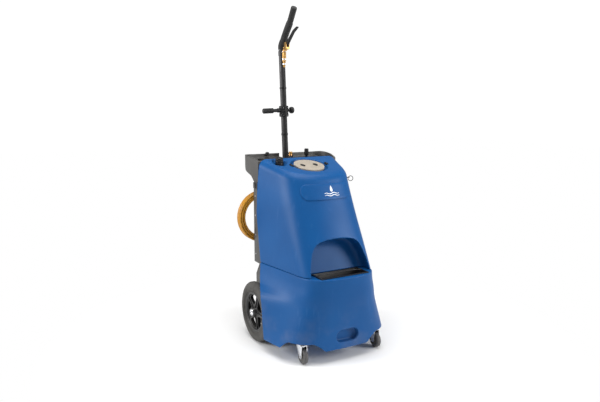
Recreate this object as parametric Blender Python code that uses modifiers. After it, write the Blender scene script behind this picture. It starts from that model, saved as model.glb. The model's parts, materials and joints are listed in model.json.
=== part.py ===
import bpy
import bmesh
import math
from mathutils import Matrix, Vector

# Carpet cleaner machine: two moulded tanks on a wheeled base, with a floor wand
# stowed behind. Metres, +Z up, the front faces -Y, X runs across the machine.

for item in list(bpy.data.objects):
    bpy.data.objects.remove(item, do_unlink=True)

# overall sizes
gap = 0.0003                 # small clearance between neighbouring pieces
wall = 0.005                 # moulded tank wall
frontY = -0.328              # front of the lower tank
rearY = 0.328                # rear rim of the handle tray
halfWidth = 0.305            # outside of the side skirts at the wheels
skirtZ = 0.058               # lower edge of the skirt
seamZ = 0.400                # joint between the tanks
topZ = 0.890                 # top of the recovery tank at the lid
topY = 0.043
topTilt = math.radians(13.8)

# rear wheels
axleY = 0.098
wheelR = 0.1525
wheelOuter = 0.295
tyreWidth = 0.045
rimR = 0.102
axleR = 0.008
hubR = 0.026

# casters
casterX = 0.205
casterY = -0.240
casterTrail = 0.022
casterR = 0.038
casterWidth = 0.024
casterTop = 0.100

# wand
wandY = rearY - 0.045
wandR = 0.016
wandTopX = -0.009
wandLean = -0.036            # sideways drift of the wand for each metre of height
wandBaseZ = 0.937

# motor housing between the wheels
bayHalf = 0.237
bayFront = -0.017
bayRear = 0.168
bayTop = 0.386
bayBottom = 0.075
bayShoulder = 0.330          # height where the upper corners start to lean in
bayLean = 0.022

# cord
cordR = 0.005
coilX = -0.175
coilY = 0.229
coilZ = 0.614
coilOuter = 0.139
coilInner = 0.100
coilThick = 0.040


def newCollection(name, hidden):
    group = bpy.data.collections.new(name)
    bpy.context.scene.collection.children.link(group)
    group.hide_render = hidden
    return group


pieces = newCollection("carpet_cleaner", False)
tools = newCollection("cutting_tools", True)


def material(name, colour, roughness, metallic=0.0):
    mat = bpy.data.materials.new(name)
    mat.use_nodes = True
    shader = mat.node_tree.nodes["Principled BSDF"]
    shader.inputs["Base Color"].default_value = (colour[0], colour[1], colour[2], 1.0)
    shader.inputs["Roughness"].default_value = roughness
    shader.inputs["Metallic"].default_value = metallic
    mat.diffuse_color = (colour[0], colour[1], colour[2], 1.0)
    return mat


def fromBmesh(name, bm, mat=None, smooth=True):
    bmesh.ops.remove_doubles(bm, verts=bm.verts, dist=0.00001)
    bmesh.ops.recalc_face_normals(bm, faces=bm.faces)
    mesh = bpy.data.meshes.new(name)
    bm.to_mesh(mesh)
    bm.free()
    obj = bpy.data.objects.new(name, mesh)
    if mat is None:
        tools.objects.link(obj)
        obj.hide_render = True
        obj.display_type = "WIRE"
    else:
        pieces.objects.link(obj)
        mesh.materials.append(mat)
        if smooth:
            mesh.shade_smooth()
            mesh.set_sharp_from_angle(angle=math.radians(35))
    return obj


def loft(name, rings, mat=None, smooth=True):
    # closed skin over equal-length rings, with a flat cap at each end
    bm = bmesh.new()
    rows = [[bm.verts.new(point) for point in ring] for ring in rings]
    count = len(rings[0])
    for lower, upper in zip(rows, rows[1:]):
        for i in range(count):
            j = (i + 1) % count
            bm.faces.new((lower[i], lower[j], upper[j], upper[i]))
    bm.faces.new(list(reversed(rows[0])))
    bm.faces.new(rows[-1])
    return fromBmesh(name, bm, mat, smooth)


def block(name, low, high, mat=None, bevel=0.0):
    bm = bmesh.new()
    bmesh.ops.create_cube(bm, size=1.0)
    size = [h - l for l, h in zip(low, high)]
    mid = [(h + l) / 2 for l, h in zip(low, high)]
    bmesh.ops.scale(bm, vec=size, verts=bm.verts)
    bmesh.ops.translate(bm, vec=mid, verts=bm.verts)
    obj = fromBmesh(name, bm, mat, bevel > 0)
    if bevel > 0:
        soften(obj, bevel)
    return obj


def soften(obj, width, segments=2):
    mod = obj.modifiers.new("bevel", "BEVEL")
    mod.width = width
    mod.segments = segments
    mod.limit_method = "ANGLE"
    mod.angle_limit = math.radians(40)
    mod.use_clamp_overlap = True
    return mod


def cut(obj, cutter):
    mod = obj.modifiers.new("cut_" + cutter.name, "BOOLEAN")
    mod.operation = "DIFFERENCE"
    mod.solver = "EXACT"
    mod.object = cutter
    return mod


def join(obj, extra):
    mod = obj.modifiers.new("join_" + extra.name, "BOOLEAN")
    mod.operation = "UNION"
    mod.solver = "EXACT"
    mod.object = extra
    return mod


def prism(name, outline, axis, low, high, mat=None, smooth=False):
    # outline points are in the two axes left over, in X, Y, Z order
    rings = []
    for level in (low, high):
        ring = []
        for a, b in outline:
            point = [a, b]
            point.insert("XYZ".index(axis), level)
            ring.append(point)
        rings.append(ring)
    return loft(name, rings, mat, smooth)


def turned(name, profile, mat=None, steps=32, place=None):
    # profile is (radius, height) pairs running down the outer side
    mesh = bpy.data.meshes.new(name)
    points = [(r, 0.0, h) for r, h in profile]
    edges = [(i, i + 1) for i in range(len(points) - 1)]
    if profile[0][0] > 0 and profile[-1][0] > 0:
        edges.append((len(points) - 1, 0))
    mesh.from_pydata(points, edges, [])
    obj = bpy.data.objects.new(name, mesh)
    mod = obj.modifiers.new("screw", "SCREW")
    mod.axis = "Z"
    mod.steps = steps
    mod.render_steps = steps
    mod.use_merge_vertices = True
    mod.merge_threshold = 0.00001
    mod.use_smooth_shade = mat is not None
    if mat is None:
        tools.objects.link(obj)
        obj.hide_render = True
        obj.display_type = "WIRE"
    else:
        pieces.objects.link(obj)
        mesh.materials.append(mat)
    if place is not None:
        obj.matrix_world = place
    return obj


def setOrigin(obj, point):
    # moves an unrotated piece's origin without moving its surface
    obj.data.transform(Matrix.Translation([-c for c in point]))
    obj.location = point
    return obj


def placed(x, y, z, axis="Z", sign=1):
    # a frame at a point, with its local Z along the named axis
    turn = Matrix.Identity(4)
    if axis == "X":
        turn = Matrix.Rotation(sign * math.pi / 2, 4, "Y")
    if axis == "Y":
        turn = Matrix.Rotation(-sign * math.pi / 2, 4, "X")
    if axis == "Z" and sign < 0:
        turn = Matrix.Rotation(math.pi, 4, "X")
    return Matrix.Translation((x, y, z)) @ turn


def tube(name, points, radius, mat, sides=2):
    curve = bpy.data.curves.new(name, "CURVE")
    curve.dimensions = "3D"
    spline = curve.splines.new("POLY")
    spline.points.add(len(points) - 1)
    for slot, point in zip(spline.points, points):
        slot.co = (point[0], point[1], point[2], 1.0)
    curve.bevel_depth = radius
    curve.bevel_resolution = sides
    curve.use_fill_caps = True
    curve.materials.append(mat)
    obj = bpy.data.objects.new(name, curve)
    pieces.objects.link(obj)
    return obj


def smoothPath(points, count):
    # even points along a smooth curve through the given ones
    pts = [Vector(p) for p in points]
    pts = [2 * pts[0] - pts[1]] + pts + [2 * pts[-1] - pts[-2]]
    fine = []
    for i in range(1, len(pts) - 2):
        for k in range(16):
            t = k / 16
            a, b, c, d = pts[i - 1], pts[i], pts[i + 1], pts[i + 2]
            p = 0.5 * (2 * b + (c - a) * t + (2 * a - 5 * b + 4 * c - d) * t * t
                       + (3 * b - a - 3 * c + d) * t ** 3)
            fine.append(p)
    fine.append(pts[-2])
    runs = [0.0]
    for a, b in zip(fine, fine[1:]):
        runs.append(runs[-1] + (b - a).length)
    out = []
    k = 0
    for i in range(count):
        want = runs[-1] * i / (count - 1)
        while k < len(runs) - 2 and runs[k + 1] < want:
            k += 1
        span = runs[k + 1] - runs[k]
        f = (want - runs[k]) / span if span > 0 else 0.0
        out.append(fine[k].lerp(fine[k + 1], min(max(f, 0.0), 1.0)))
    return out


def between(table, z):
    # straight-line reading of a height table: rows are (z, value, value, ...)
    if z <= table[0][0]:
        return table[0][1:]
    for a, b in zip(table, table[1:]):
        if z <= b[0]:
            f = (z - a[0]) / (b[0] - a[0])
            return [p + (q - p) * f for p, q in zip(a[1:], b[1:])]
    return table[-1][1:]


# plan of the hull by height: front y, side x and y where the corner ends, rear x and y
lowerPlan = (
    (0.050, frontY + 0.004, 0.280, -0.202, halfWidth, -0.047),
    (0.130, frontY + 0.003, 0.260, -0.202, halfWidth, -0.034),
    (0.200, frontY + 0.002, 0.241, -0.202, halfWidth - 0.001, -0.022),
    (0.270, frontY + 0.001, 0.222, -0.202, halfWidth - 0.004, -0.004),
    (0.300, frontY + 0.001, 0.214, -0.202, 0.286, 0.031),
    (0.320, frontY + 0.001, 0.209, -0.202, 0.272, 0.064),
    (0.360, frontY, 0.199, -0.200, 0.256, 0.094),
    (seamZ, frontY, 0.194, -0.198, 0.243, 0.116),
)
faceSlope = 0.45
upperPlan = (
    (seamZ, frontY + 0.026, 0.198, -0.187, 0.243, 0.116),
    (0.520, -0.248, 0.200, -0.119, 0.242, 0.138),
    (0.650, -0.1895, 0.200, -0.046, 0.241, 0.158),
    (0.770, -0.1355, 0.200, 0.012, 0.236, 0.158),
    (0.860, -0.095, 0.196, 0.040, 0.228, 0.158),
    (0.960, -0.050, 0.190, 0.060, 0.218, 0.158),
)
cornerSteps = 9
sideSteps = 4


def halfOutline(plan):
    # the +X half from the rear edge round to the front centre
    front, sideX, sideY, rearX, rearYY = plan
    a = Vector((0.0, front))
    b = Vector((sideX, sideY))
    r = Vector((rearX, rearYY))
    along = (r - b).normalized()
    h1 = Vector((sideX * 0.78, front))
    h2 = b - along * 0.085
    pts = [r.lerp(b, i / sideSteps) for i in range(sideSteps)]
    for i in range(cornerSteps + 1):
        t = 1.0 - i / cornerSteps
        pts.append((1 - t) ** 3 * a + 3 * (1 - t) ** 2 * t * h1
                   + 3 * (1 - t) * t * t * h2 + t ** 3 * b)
    return pts


def insetHalf(pts, inset):
    out = []
    for i, p in enumerate(pts):
        before = pts[max(i - 1, 0)]
        after = pts[min(i + 1, len(pts) - 1)]
        if i == len(pts) - 1:
            normal = Vector((0.0, -1.0))
        else:
            run = (after - before).normalized()
            normal = Vector((-run.y, run.x))
            if normal.x < 0:
                normal = -normal
        q = p - normal * inset
        out.append(q)
    return out


def fullRing(half, z):
    left = [Vector((-p.x, p.y)) for p in reversed(half[:-1])]
    points = half[:-1] + [Vector((0.0, half[-1].y))] + left
    levels = z if isinstance(z, list) else [z] * len(half)
    levels = levels + list(reversed(levels[:-1]))
    return [(p.x, p.y, h) for p, h in zip(points, levels)]


def hullRing(table, z, inset=0.0):
    half = halfOutline(between(table, z))
    if inset > 0:
        half = insetHalf(half, inset)
    return fullRing(half, z)


def topAt(y):
    return topZ + (y - topY) * math.tan(topTilt)


lidSink = 0.016


def domeRings(inset, bottom, shoulder, ceiling, rear):
    # rings from the seam up the walls and over the rounded shoulder
    halfCount = sideSteps + cornerSteps + 1
    starts = []
    leans = []
    for i in range(halfCount):
        z = 0.85
        lean = 0.0
        for _ in range(6):
            p = insetHalf(halfOutline(between(upperPlan, z)), inset)[i]
            q = insetHalf(halfOutline(between(upperPlan, z + 0.02)), inset)[i]
            lean = math.atan(max(0.0, (q - p).length / 0.02)) if i > sideSteps else 0.08
            z = topAt(p.y) - ceiling - shoulder * (1 - math.sin(lean))
        starts.append(z)
        leans.append(lean)
    rings = []
    edge = []
    for s in (0.0, 0.12, 0.26, 0.42, 0.58, 0.74, 0.88, 1.0):
        half = []
        levels = []
        for i in range(halfCount):
            z = bottom + (starts[i] - bottom) * s
            p = insetHalf(halfOutline(between(upperPlan, z)), inset)[i]
            if i == 0:
                p = Vector((p.x, between(upperPlan, z)[4] - rear))
            half.append(p)
            levels.append(z)
        rings.append(fullRing(half, levels))
        edge = half
    for k in range(1, 6):
        drawn = []
        levels = []
        for i in range(halfCount):
            turn = leans[i] + (math.pi / 2 - leans[i]) * k / 5
            offset = shoulder * (math.cos(leans[i]) - math.cos(turn))
            p = insetHalf(edge, offset)[i]
            if i == 0:
                p = Vector((p.x, edge[0].y))
            drawn.append(p)
            levels.append(topAt(p.y) - ceiling - shoulder * (1 - math.sin(turn)))
        rings.append(fullRing(drawn, levels))
    return rings


blue = material("blue_shell", (0.035, 0.13, 0.42), 0.42)
grey = material("grey_plastic", (0.075, 0.073, 0.070), 0.6)
black = material("black_plastic", (0.015, 0.015, 0.016), 0.45)
rubber = material("tyre_rubber", (0.055, 0.053, 0.05), 0.8)
cream = material("cream_plastic", (0.62, 0.56, 0.45), 0.5)
brass = material("brass", (0.62, 0.42, 0.16), 0.3, 1.0)
chrome = material("chrome", (0.75, 0.75, 0.76), 0.15, 1.0)
steel = material("steel", (0.45, 0.45, 0.46), 0.35, 1.0)
darkSteel = material("dark_steel", (0.045, 0.045, 0.047), 0.4, 0.3)
yellow = material("yellow_cord", (0.72, 0.42, 0.03), 0.5)
motorCase = material("motor_case", (0.28, 0.28, 0.30), 0.4, 0.6)

# ---------------------------------------------------------------- lower tank
lowerLevels = (skirtZ, 0.130, 0.200, 0.270, 0.300, 0.320, 0.360, seamZ)
lowerTank = loft("lower_tank", [hullRing(lowerPlan, z) for z in lowerLevels], blue)

basketHalf = 0.126
basketFront = -0.296
basketRear = -0.207
recessDepth = 0.105
handZ = 0.121
handHalf = 0.061
handTall = 0.030
handDepth = 0.032


def stadium(half, tall, steps=8):
    pts = []
    for side in (1, -1):
        for i in range(steps + 1):
            a = -math.pi / 2 + math.pi * i / steps
            pts.append((side * (half - tall) + side * tall * math.cos(a),
                        side * tall * math.sin(a)))
    return pts


def handTool(name, grow):
    outline = [(x, z + handZ) for x, z in stadium(handHalf + grow, handTall + grow)]
    return prism(name, outline, "Y", frontY - 0.03, frontY + handDepth + grow)


floorZ = casterTop + 2 * wall
wellRoom = 0.004
wellX = wheelOuter - 0.025
wellBack = axleY - wheelR - wellRoom
cavity = loft("solution_space", [
    hullRing(lowerPlan, floorZ, wall),
    hullRing(lowerPlan, 0.200, wall),
    hullRing(lowerPlan, 0.270, wall),
    hullRing(lowerPlan, 0.330, wall),
    hullRing(lowerPlan, seamZ - 0.008, wall),
])
cut(cavity, block("solution_limit", (-0.5, wellBack - wall, 0.0), (0.5, 0.4, 0.6)))
cut(cavity, handTool("hand_wall", wall))
cut(lowerTank, cavity)
under = loft("under_space", [hullRing(lowerPlan, z, wall + 0.001)
                             for z in (0.052, 0.080, casterTop + gap)])
cut(under, block("under_limit", (-0.5, wellBack - wall, 0.0), (0.5, 0.4, 0.6)))
cut(under, handTool("hand_floor", wall))
cut(lowerTank, under)
cut(lowerTank, handTool("hand_space", 0.0))


def bayOutline(inset, bottom):
    # across the machine: the upper corners slope in with the sides of the tank
    half = bayHalf - inset
    return [(-half, bottom), (half, bottom), (half, bayShoulder), (half - bayLean, bayTop - inset),
            (-half + bayLean, bayTop - inset), (-half, bayShoulder)]


cut(lowerTank, prism("bay_space", bayOutline(0.0, 0.0), "Y", bayFront, 0.3))
for side in (-1, 1):
    tag = "left" if side < 0 else "right"
    well = turned("well_" + tag, [(0, 0.0265), (wheelR - 0.008, 0.0265),
                                  (wheelR + wellRoom, 0.0115), (wheelR + wellRoom, -0.0265),
                                  (0, -0.0265)],
                  None, 48, placed(side * wellX, axleY, wheelR, "X", side))
    cut(lowerTank, well)
    arch = turned("arch_" + tag, [(0, casterTop + gap), (0.062, casterTop + gap),
                                  (0.112, skirtZ - 0.001), (0.112, 0.0), (0, 0.0)],
                  None, 32, placed(side * casterX, casterY - 0.012, 0))
    cut(lowerTank, arch)
fill = block("fill_space", (-basketHalf, basketFront, seamZ - 0.03),
             (basketHalf, basketRear, seamZ + 0.03))
cut(lowerTank, fill)

# ---------------------------------------------------------------- upper tank
upperBottom = seamZ + 2 * gap
shoulderR = 0.045
upperTank = loft("upper_tank", domeRings(0.0, upperBottom, shoulderR, 0.0, 0.0), blue)

archShape = ((0.168, -0.02), (0.165, 0.01), (0.158, 0.05), (0.150, 0.08), (0.138, 0.115),
             (0.122, 0.142), (0.096, 0.160), (0.050, 0.170), (0.0, 0.172))


def archTool(name, grow):
    half = [(x + grow if x > 0 else 0.0, z + (grow if z > 0.1 else 0.0)) for x, z in archShape]
    outline = half + [(-x, z) for x, z in reversed(half[:-1])]
    front = [(x, frontY - 0.05, seamZ + z) for x, z in outline]
    rear = []
    for x, z in outline:
        low = z - 0.012 * max(0.0, z) / 0.172
        rear.append((x * 0.95, -0.302 + faceSlope * low + recessDepth + grow, seamZ + low))
    return loft(name, [front, rear])


recovery = loft("recovery_space",
                domeRings(wall, seamZ + wall, shoulderR - 0.005, lidSink + 0.006, wall))
cut(recovery, archTool("arch_wall", wall))
scoopWall = block("scoop_wall", (-0.20, 0.030, topZ - 0.030), (-0.068, 0.30, topZ + 0.110))
cut(recovery, scoopWall)
cut(upperTank, recovery)
cut(upperTank, archTool("arch_space", 0.0))

lidR = 0.078
lidNeck = 0.066
lidFrame = Matrix.Translation((0, topY, topZ)) @ Matrix.Rotation(topTilt, 4, "X")
cut(upperTank, turned("lid_space", [(0, 0.04), (lidR + 0.012, 0.04), (lidR + 0.012, -lidSink),
                                    (lidNeck + 0.002, -lidSink), (lidNeck + 0.002, -0.05),
                                    (0, -0.05)], None, 32, lidFrame))
portX = -0.132
portY = 0.112
portFloor = topZ - 0.006
scoop = bmesh.new()
bmesh.ops.create_uvsphere(scoop, u_segments=24, v_segments=12, radius=1.0)
bmesh.ops.scale(scoop, vec=(0.040, 0.062, 0.034), verts=scoop.verts)
bmesh.ops.rotate(scoop, cent=(0, 0, 0), matrix=Matrix.Rotation(math.radians(-8), 3, "Z"),
                 verts=scoop.verts)
bmesh.ops.translate(scoop, vec=(portX - 0.006, portY - 0.022, portFloor + 0.030), verts=scoop.verts)
cut(upperTank, fromBmesh("scoop_space", scoop))
cut(upperTank, turned("port_space", [(0, 0.1), (0.0235, 0.1), (0.0235, 0), (0, 0)], None, 24,
                      placed(portX, portY, portFloor)))

# lid, its seal and the recess under it
turned("lid_seal", [(lidR, -lidSink + 0.003), (lidR, -lidSink + gap),
                    (lidNeck + 0.0025, -lidSink + gap), (lidNeck + 0.0025, -lidSink + 0.003)],
       black, 32, lidFrame)
lidBase = -lidSink + 0.003 + gap
discLid = turned("disc_lid", [(0, lidBase + 0.012), (lidR - 0.003, lidBase + 0.012),
                              (lidR, lidBase + 0.009), (lidR, lidBase),
                              (lidNeck, lidBase), (lidNeck, lidBase - 0.014),
                              (0, lidBase - 0.014)], cream, 32, lidFrame)
for side in (-1, 1):
    dish = bmesh.new()
    bmesh.ops.create_uvsphere(dish, u_segments=16, v_segments=8, radius=1.0)
    bmesh.ops.scale(dish, vec=(0.016, 0.024, 0.014), verts=dish.verts)
    bmesh.ops.translate(dish, vec=(side * 0.036, 0, lidBase + 0.015), verts=dish.verts)
    dish.transform(lidFrame)
    cut(discLid, fromBmesh("finger_dish_" + str(side + 2), dish))

# label panel, following the front face
labelHalf = 0.131
labelLow = topZ - 0.149
labelHigh = topZ - 0.077


def faceY(x, z):
    half = halfOutline(between(upperPlan, z))
    for a, b in zip(half, half[1:]):
        if min(a.x, b.x) - 1e-9 <= abs(x) <= max(a.x, b.x) + 1e-9 and a.y <= 0.06:
            f = (abs(x) - a.x) / (b.x - a.x) if abs(b.x - a.x) > 1e-9 else 0.0
            return a.y + (b.y - a.y) * f
    return half[-1].y


labelCols = 13
labelRound = 0.030
front = []
for i in range(labelCols):
    x = -labelHalf + 2 * labelHalf * i / (labelCols - 1)
    edge = max(0.0, abs(x) - (labelHalf - labelRound))
    trim = labelRound - math.sqrt(max(labelRound ** 2 - edge ** 2, 0.0))
    trim = min(trim, labelRound * 0.82)
    column = []
    for z, lift in ((labelLow + trim, 0.0018), (labelLow + trim, 0.0036),
                    (labelHigh - trim, 0.0036), (labelHigh - trim, 0.0018)):
        column.append((x, faceY(x, z) - lift, z))
    front.append(column)
loft("label_panel", front, blue)

# vacuum port in the scoop, with its cap
turned("vac_port", [(0.0180, 0.026), (0.0205, 0.024), (0.0205, 0.004), (0.0230, 0.004),
                    (0.0230, gap), (0.0140, gap), (0.0140, 0.026)], black, 24,
       placed(portX, portY, portFloor))
turned("port_cap", [(0, 0.0460), (0.008, 0.0445), (0.0150, 0.0390), (0.0195, 0.0300),
                    (0.0195, 0.026 + gap), (0, 0.026 + gap)], black, 24,
       placed(portX, portY, portFloor))

# fill basket in the lower tank's deck
basketRim = seamZ + gap
rimOut = 0.005
basket = block("fill_basket", (-basketHalf - rimOut, basketFront - rimOut, basketRim),
               (basketHalf + rimOut, basketRear + rimOut, basketRim + 0.004), black, 0.001)
basketCup = block("basket_cup", (-basketHalf + 0.001, basketFront + 0.001, seamZ - 0.062),
                  (basketHalf - 0.001, basketRear - 0.001, basketRim + 0.002))
join(basket, basketCup)
cut(basket, block("basket_inside", (-basketHalf + 0.004, basketFront + 0.004, seamZ - 0.059),
                  (basketHalf - 0.004, basketRear - 0.004, seamZ + 0.02)))
slots = bmesh.new()
for i in range(9):
    spot = Matrix.Translation((-0.104 + 0.026 * i, (basketFront + basketRear) / 2, seamZ - 0.06))
    size = Matrix.Diagonal((0.009, 0.066, 0.02, 1.0))
    bmesh.ops.create_cube(slots, size=1.0, matrix=spot @ size)
cut(basket, fromBmesh("basket_slots", slots))
setOrigin(basket, (0, (basketFront + basketRear) / 2, basketRim))

# ------------------------------------------------------- rear: housing and frame
housing = prism("motor_housing", bayOutline(gap, bayBottom), "Y", bayFront + gap, bayRear, grey)
cut(housing, prism("housing_space", bayOutline(wall, bayBottom + wall), "Y", bayFront + wall,
                   bayRear + 0.05))
cut(housing, turned("axle_space", [(0, 0.3), (axleR + gap, 0.3), (axleR + gap, -0.3),
                                   (0, -0.3)], None, 24, placed(0, axleY, wheelR, "X")))
coverRear = bayRear + gap + 0.006
cover = prism("rear_cover", bayOutline(gap, bayBottom), "Y", bayRear + gap, coverRear, grey)
vents = bmesh.new()
for i in range(7):
    spot = Matrix.Translation((0.10, bayRear, 0.235 + 0.016 * i))
    bmesh.ops.create_cube(vents, size=1.0, matrix=spot @ Matrix.Diagonal((0.16, 0.05, 0.006, 1)))
cut(cover, fromBmesh("vent_space", vents))
cut(cover, turned("cable_space", [(0, 0.1), (0.0094, 0.1), (0.0094, -0.1), (0, -0.1)],
                  None, 20, placed(-0.10, bayRear, 0.330, "Y")))

deckTop = wheelR + 0.0375
motorTall = bayTop - wall - 0.026 - deckTop
block("motor_deck", (-bayHalf + wall + gap, bayFront + wall + gap, deckTop - 0.005),
      (bayHalf - wall - gap, bayRear - 0.001, deckTop), steel)
for tag, x in (("a", -0.150), ("b", 0.005)):
    turned("vac_motor_" + tag, [(0, motorTall), (0.028, motorTall), (0.034, motorTall - 0.015),
                                (0.040, motorTall - 0.060), (0.068, motorTall - 0.065),
                                (0.068, 0.012), (0.071, 0.010), (0.071, gap), (0, gap)],
           motorCase, 32, placed(x, 0.078, deckTop))
block("solution_pump", (0.100, 0.020, deckTop + gap), (0.205, 0.120, bayTop - 0.091), black,
      0.006)
block("terminal_box", (0.090, 0.020, bayTop - 0.076), (0.205, 0.140, bayTop - wall - 2 * gap),
      grey, 0.004)

# back frame behind the recovery tank: a channel open to the rear
frameHalf = 0.236
frameRear = 0.198
frameSheet = 0.006
frameTop = topZ - 0.090
frameFoot = bayTop + gap
frameLine = [(0.116, frameFoot), (0.116, seamZ + 0.002), (0.138, 0.520), (0.158, 0.650),
             (0.158, frameTop)]
outline = [(y + 2 * gap, z) for y, z in frameLine]
outline += [(frameRear, frameTop), (frameRear, frameFoot)]
backFrame = prism("back_frame", outline, "X", -frameHalf, frameHalf, grey)
outline = [(y + frameSheet, z) for y, z in frameLine]
outline[0] = (outline[0][0], frameFoot + frameSheet)
outline[-1] = (outline[-1][0], frameTop - frameSheet)
outline += [(frameRear + 0.02, frameTop - frameSheet), (frameRear + 0.02, frameFoot + frameSheet)]
cut(backFrame, prism("frame_space", outline, "X", -frameHalf + 0.008, frameHalf - 0.008))

# handle tray with a pocket and a notch for the wand
trayBase = frameTop + gap
trayFront = 0.158 + 2 * gap
trayTop = topZ + 0.040


def trayX(y):
    return 0.226 + (y - trayFront) * 0.15


trayOuter = [(trayFront, trayBase), (trayFront, trayTop - 0.006), (rearY - 0.004, trayTop + 0.006),
             (rearY, trayTop), (rearY, trayTop - 0.026), (rearY - 0.046, frameTop + 0.052),
             (0.222, frameTop + 0.028), (frameRear, trayBase)]
trayFloor = frameTop + 0.039
trayBend = 0.220
trayInner = [(0.166, trayFloor - 0.001), (0.166, trayTop + 0.050), (rearY - 0.017, trayTop + 0.050),
             (rearY - 0.017, trayTop - 0.016), (rearY - 0.054, trayFloor + 0.025),
             (trayBend, trayFloor)]


def trayLoft(name, shape, thin, mat=None):
    rings = []
    for side in (-1, -0.33, 0.33, 1):
        rings.append([(side * (trayX(y) - thin), y, z) for y, z in shape])
    return loft(name, rings, mat, False)


tray = trayLoft("handle_tray", trayOuter, 0.0, grey)
cut(tray, trayLoft("tray_space", trayInner, 0.012))
notchHalf = wandR + 0.008
cut(tray, block("wand_notch", (wandTopX - notchHalf, wandY - wandR - 0.014, frameTop - 0.01),
                (wandTopX + notchHalf, rearY + 0.07, trayTop + 0.06)))

# console in the tray with the controls
consoleTop = topZ + 0.022
consoleRear = wandY - 0.040
consoleFoot = trayFloor + 0.0005
footRise = 0.025 * (consoleRear - trayBend) / (rearY - 0.054 - trayBend)
console = prism("console", [(0.1685, consoleFoot), (trayBend - 0.0005, consoleFoot),
                            (consoleRear, consoleFoot + footRise + 0.0002),
                            (consoleRear, consoleTop), (0.1685, consoleTop)],
                "X", -0.19, 0.19, black)
cut(console, block("console_space", (-0.184, 0.15, frameTop),
                   (0.184, consoleRear + 0.02, consoleTop - 0.006)))
switchPlaces = (0.128, 0.160)
switchY = 0.206
rockerShape = ((-0.0155, 0.0005), (-0.0155, 0.0055), (0.0, 0.0025), (0.0155, 0.0035),
               (0.0155, -0.0005), (0.006, -0.0075), (-0.006, -0.0075))
for number, x in enumerate(switchPlaces):
    cut(console, block("switch_space_%d" % number, (x - 0.0105, switchY - 0.016, consoleTop - 0.012),
                       (x + 0.0105, switchY + 0.016, consoleTop + 0.018)))
    rocker = prism("rocker_switch_%d" % (number + 1),
                   [(switchY + y, consoleTop + z) for y, z in rockerShape],
                   "X", x - 0.0100, x + 0.0100, black)
    setOrigin(rocker, (x, switchY, consoleTop - 0.0025))
couplerX = -0.012
couplerY = 0.218
join(console, turned("coupler_base", [(0, 0.008), (0.0125, 0.008), (0.0145, 0.006),
                                      (0.0145, -0.002), (0, -0.002)],
                     None, 20, placed(couplerX, couplerY, consoleTop)))
turned("brass_coupler", [(0.0050, 0.030), (0.0085, 0.030), (0.0095, 0.028), (0.0095, 0.022),
                         (0.0078, 0.021), (0.0078, 0.017), (0.0105, 0.016), (0.0105, 0.008 + gap),
                         (0, 0.008 + gap), (0, 0.012), (0.0050, 0.014)],
       brass, 24, placed(couplerX, couplerY, consoleTop))
knobX = 0.0836
turned("pressure_knob", [(0, 0.043), (0.0095, 0.043), (0.0115, 0.041), (0.0115, 0.006),
                         (0.0060, 0.005), (0.0060, gap), (0, gap)], black, 20,
       placed(knobX, couplerY, consoleTop))
join(tray, turned("rim_button", [(0, 0.012), (0.005, 0.011), (0.009, 0.0075), (0.0115, 0.000),
                                 (0.0115, -0.006), (0, -0.006)],
                  None, 20, placed(-0.100, rearY - 0.0115, trayTop + 0.0055)))

# inside the recovery tank
pipeX = 0.060
pipeY = 0.030
floorTop = seamZ + wall + gap
turned("standpipe", [(0.0190, 0.290), (0.0225, 0.290), (0.0225, 0.004), (0.032, 0.004),
                     (0.032, 0.0), (0.0190, 0.0)], grey, 24,
       placed(pipeX, pipeY, floorTop))
cageBase = floorTop + 0.290 + gap
turned("float_cage", [(0.0180, 0.0020), (0.0180, 0.0), (0.0270, 0.0), (0.0300, 0.0020),
                      (0.0300, 0.0800), (0.0270, 0.0830), (0.0100, 0.0830), (0.0100, 0.0800),
                      (0.0270, 0.0790), (0.0270, 0.0040)][::-1], grey, 24,
       placed(pipeX, pipeY, cageBase))
turned("float_ball", [(0, 0.0210), (0.0081, 0.0194), (0.0149, 0.0148), (0.0194, 0.0081),
                      (0.0210, 0), (0.0194, -0.0081), (0.0149, -0.0148), (0.0081, -0.0194),
                      (0, -0.0210)], cream, 24, placed(pipeX, pipeY, cageBase + 0.0132))

# drain valve on the back frame, with its lever
drainX = 0.120
drainZ = 0.475
drainFlat = between([(z, y) for y, z in frameLine], drainZ + 0.030)[0] + frameSheet + 2 * gap
turned("drain_valve", [(0.0150, 0.085), (0.0190, 0.085), (0.0190, 0.048), (0.0240, 0.046),
                       (0.0240, 0.018), (0.0300, 0.016), (0.0300, 0.0), (0.0150, 0.0)], black, 24,
       placed(drainX, drainFlat, drainZ, "Y"))
lever = block("drain_lever", (drainX - 0.0075, drainFlat + 0.026, drainZ + 0.0240 + gap),
              (drainX + 0.0075, drainFlat + 0.036, drainZ + 0.075), yellow, 0.0015)
setOrigin(lever, (drainX, drainFlat + 0.031, drainZ))

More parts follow.
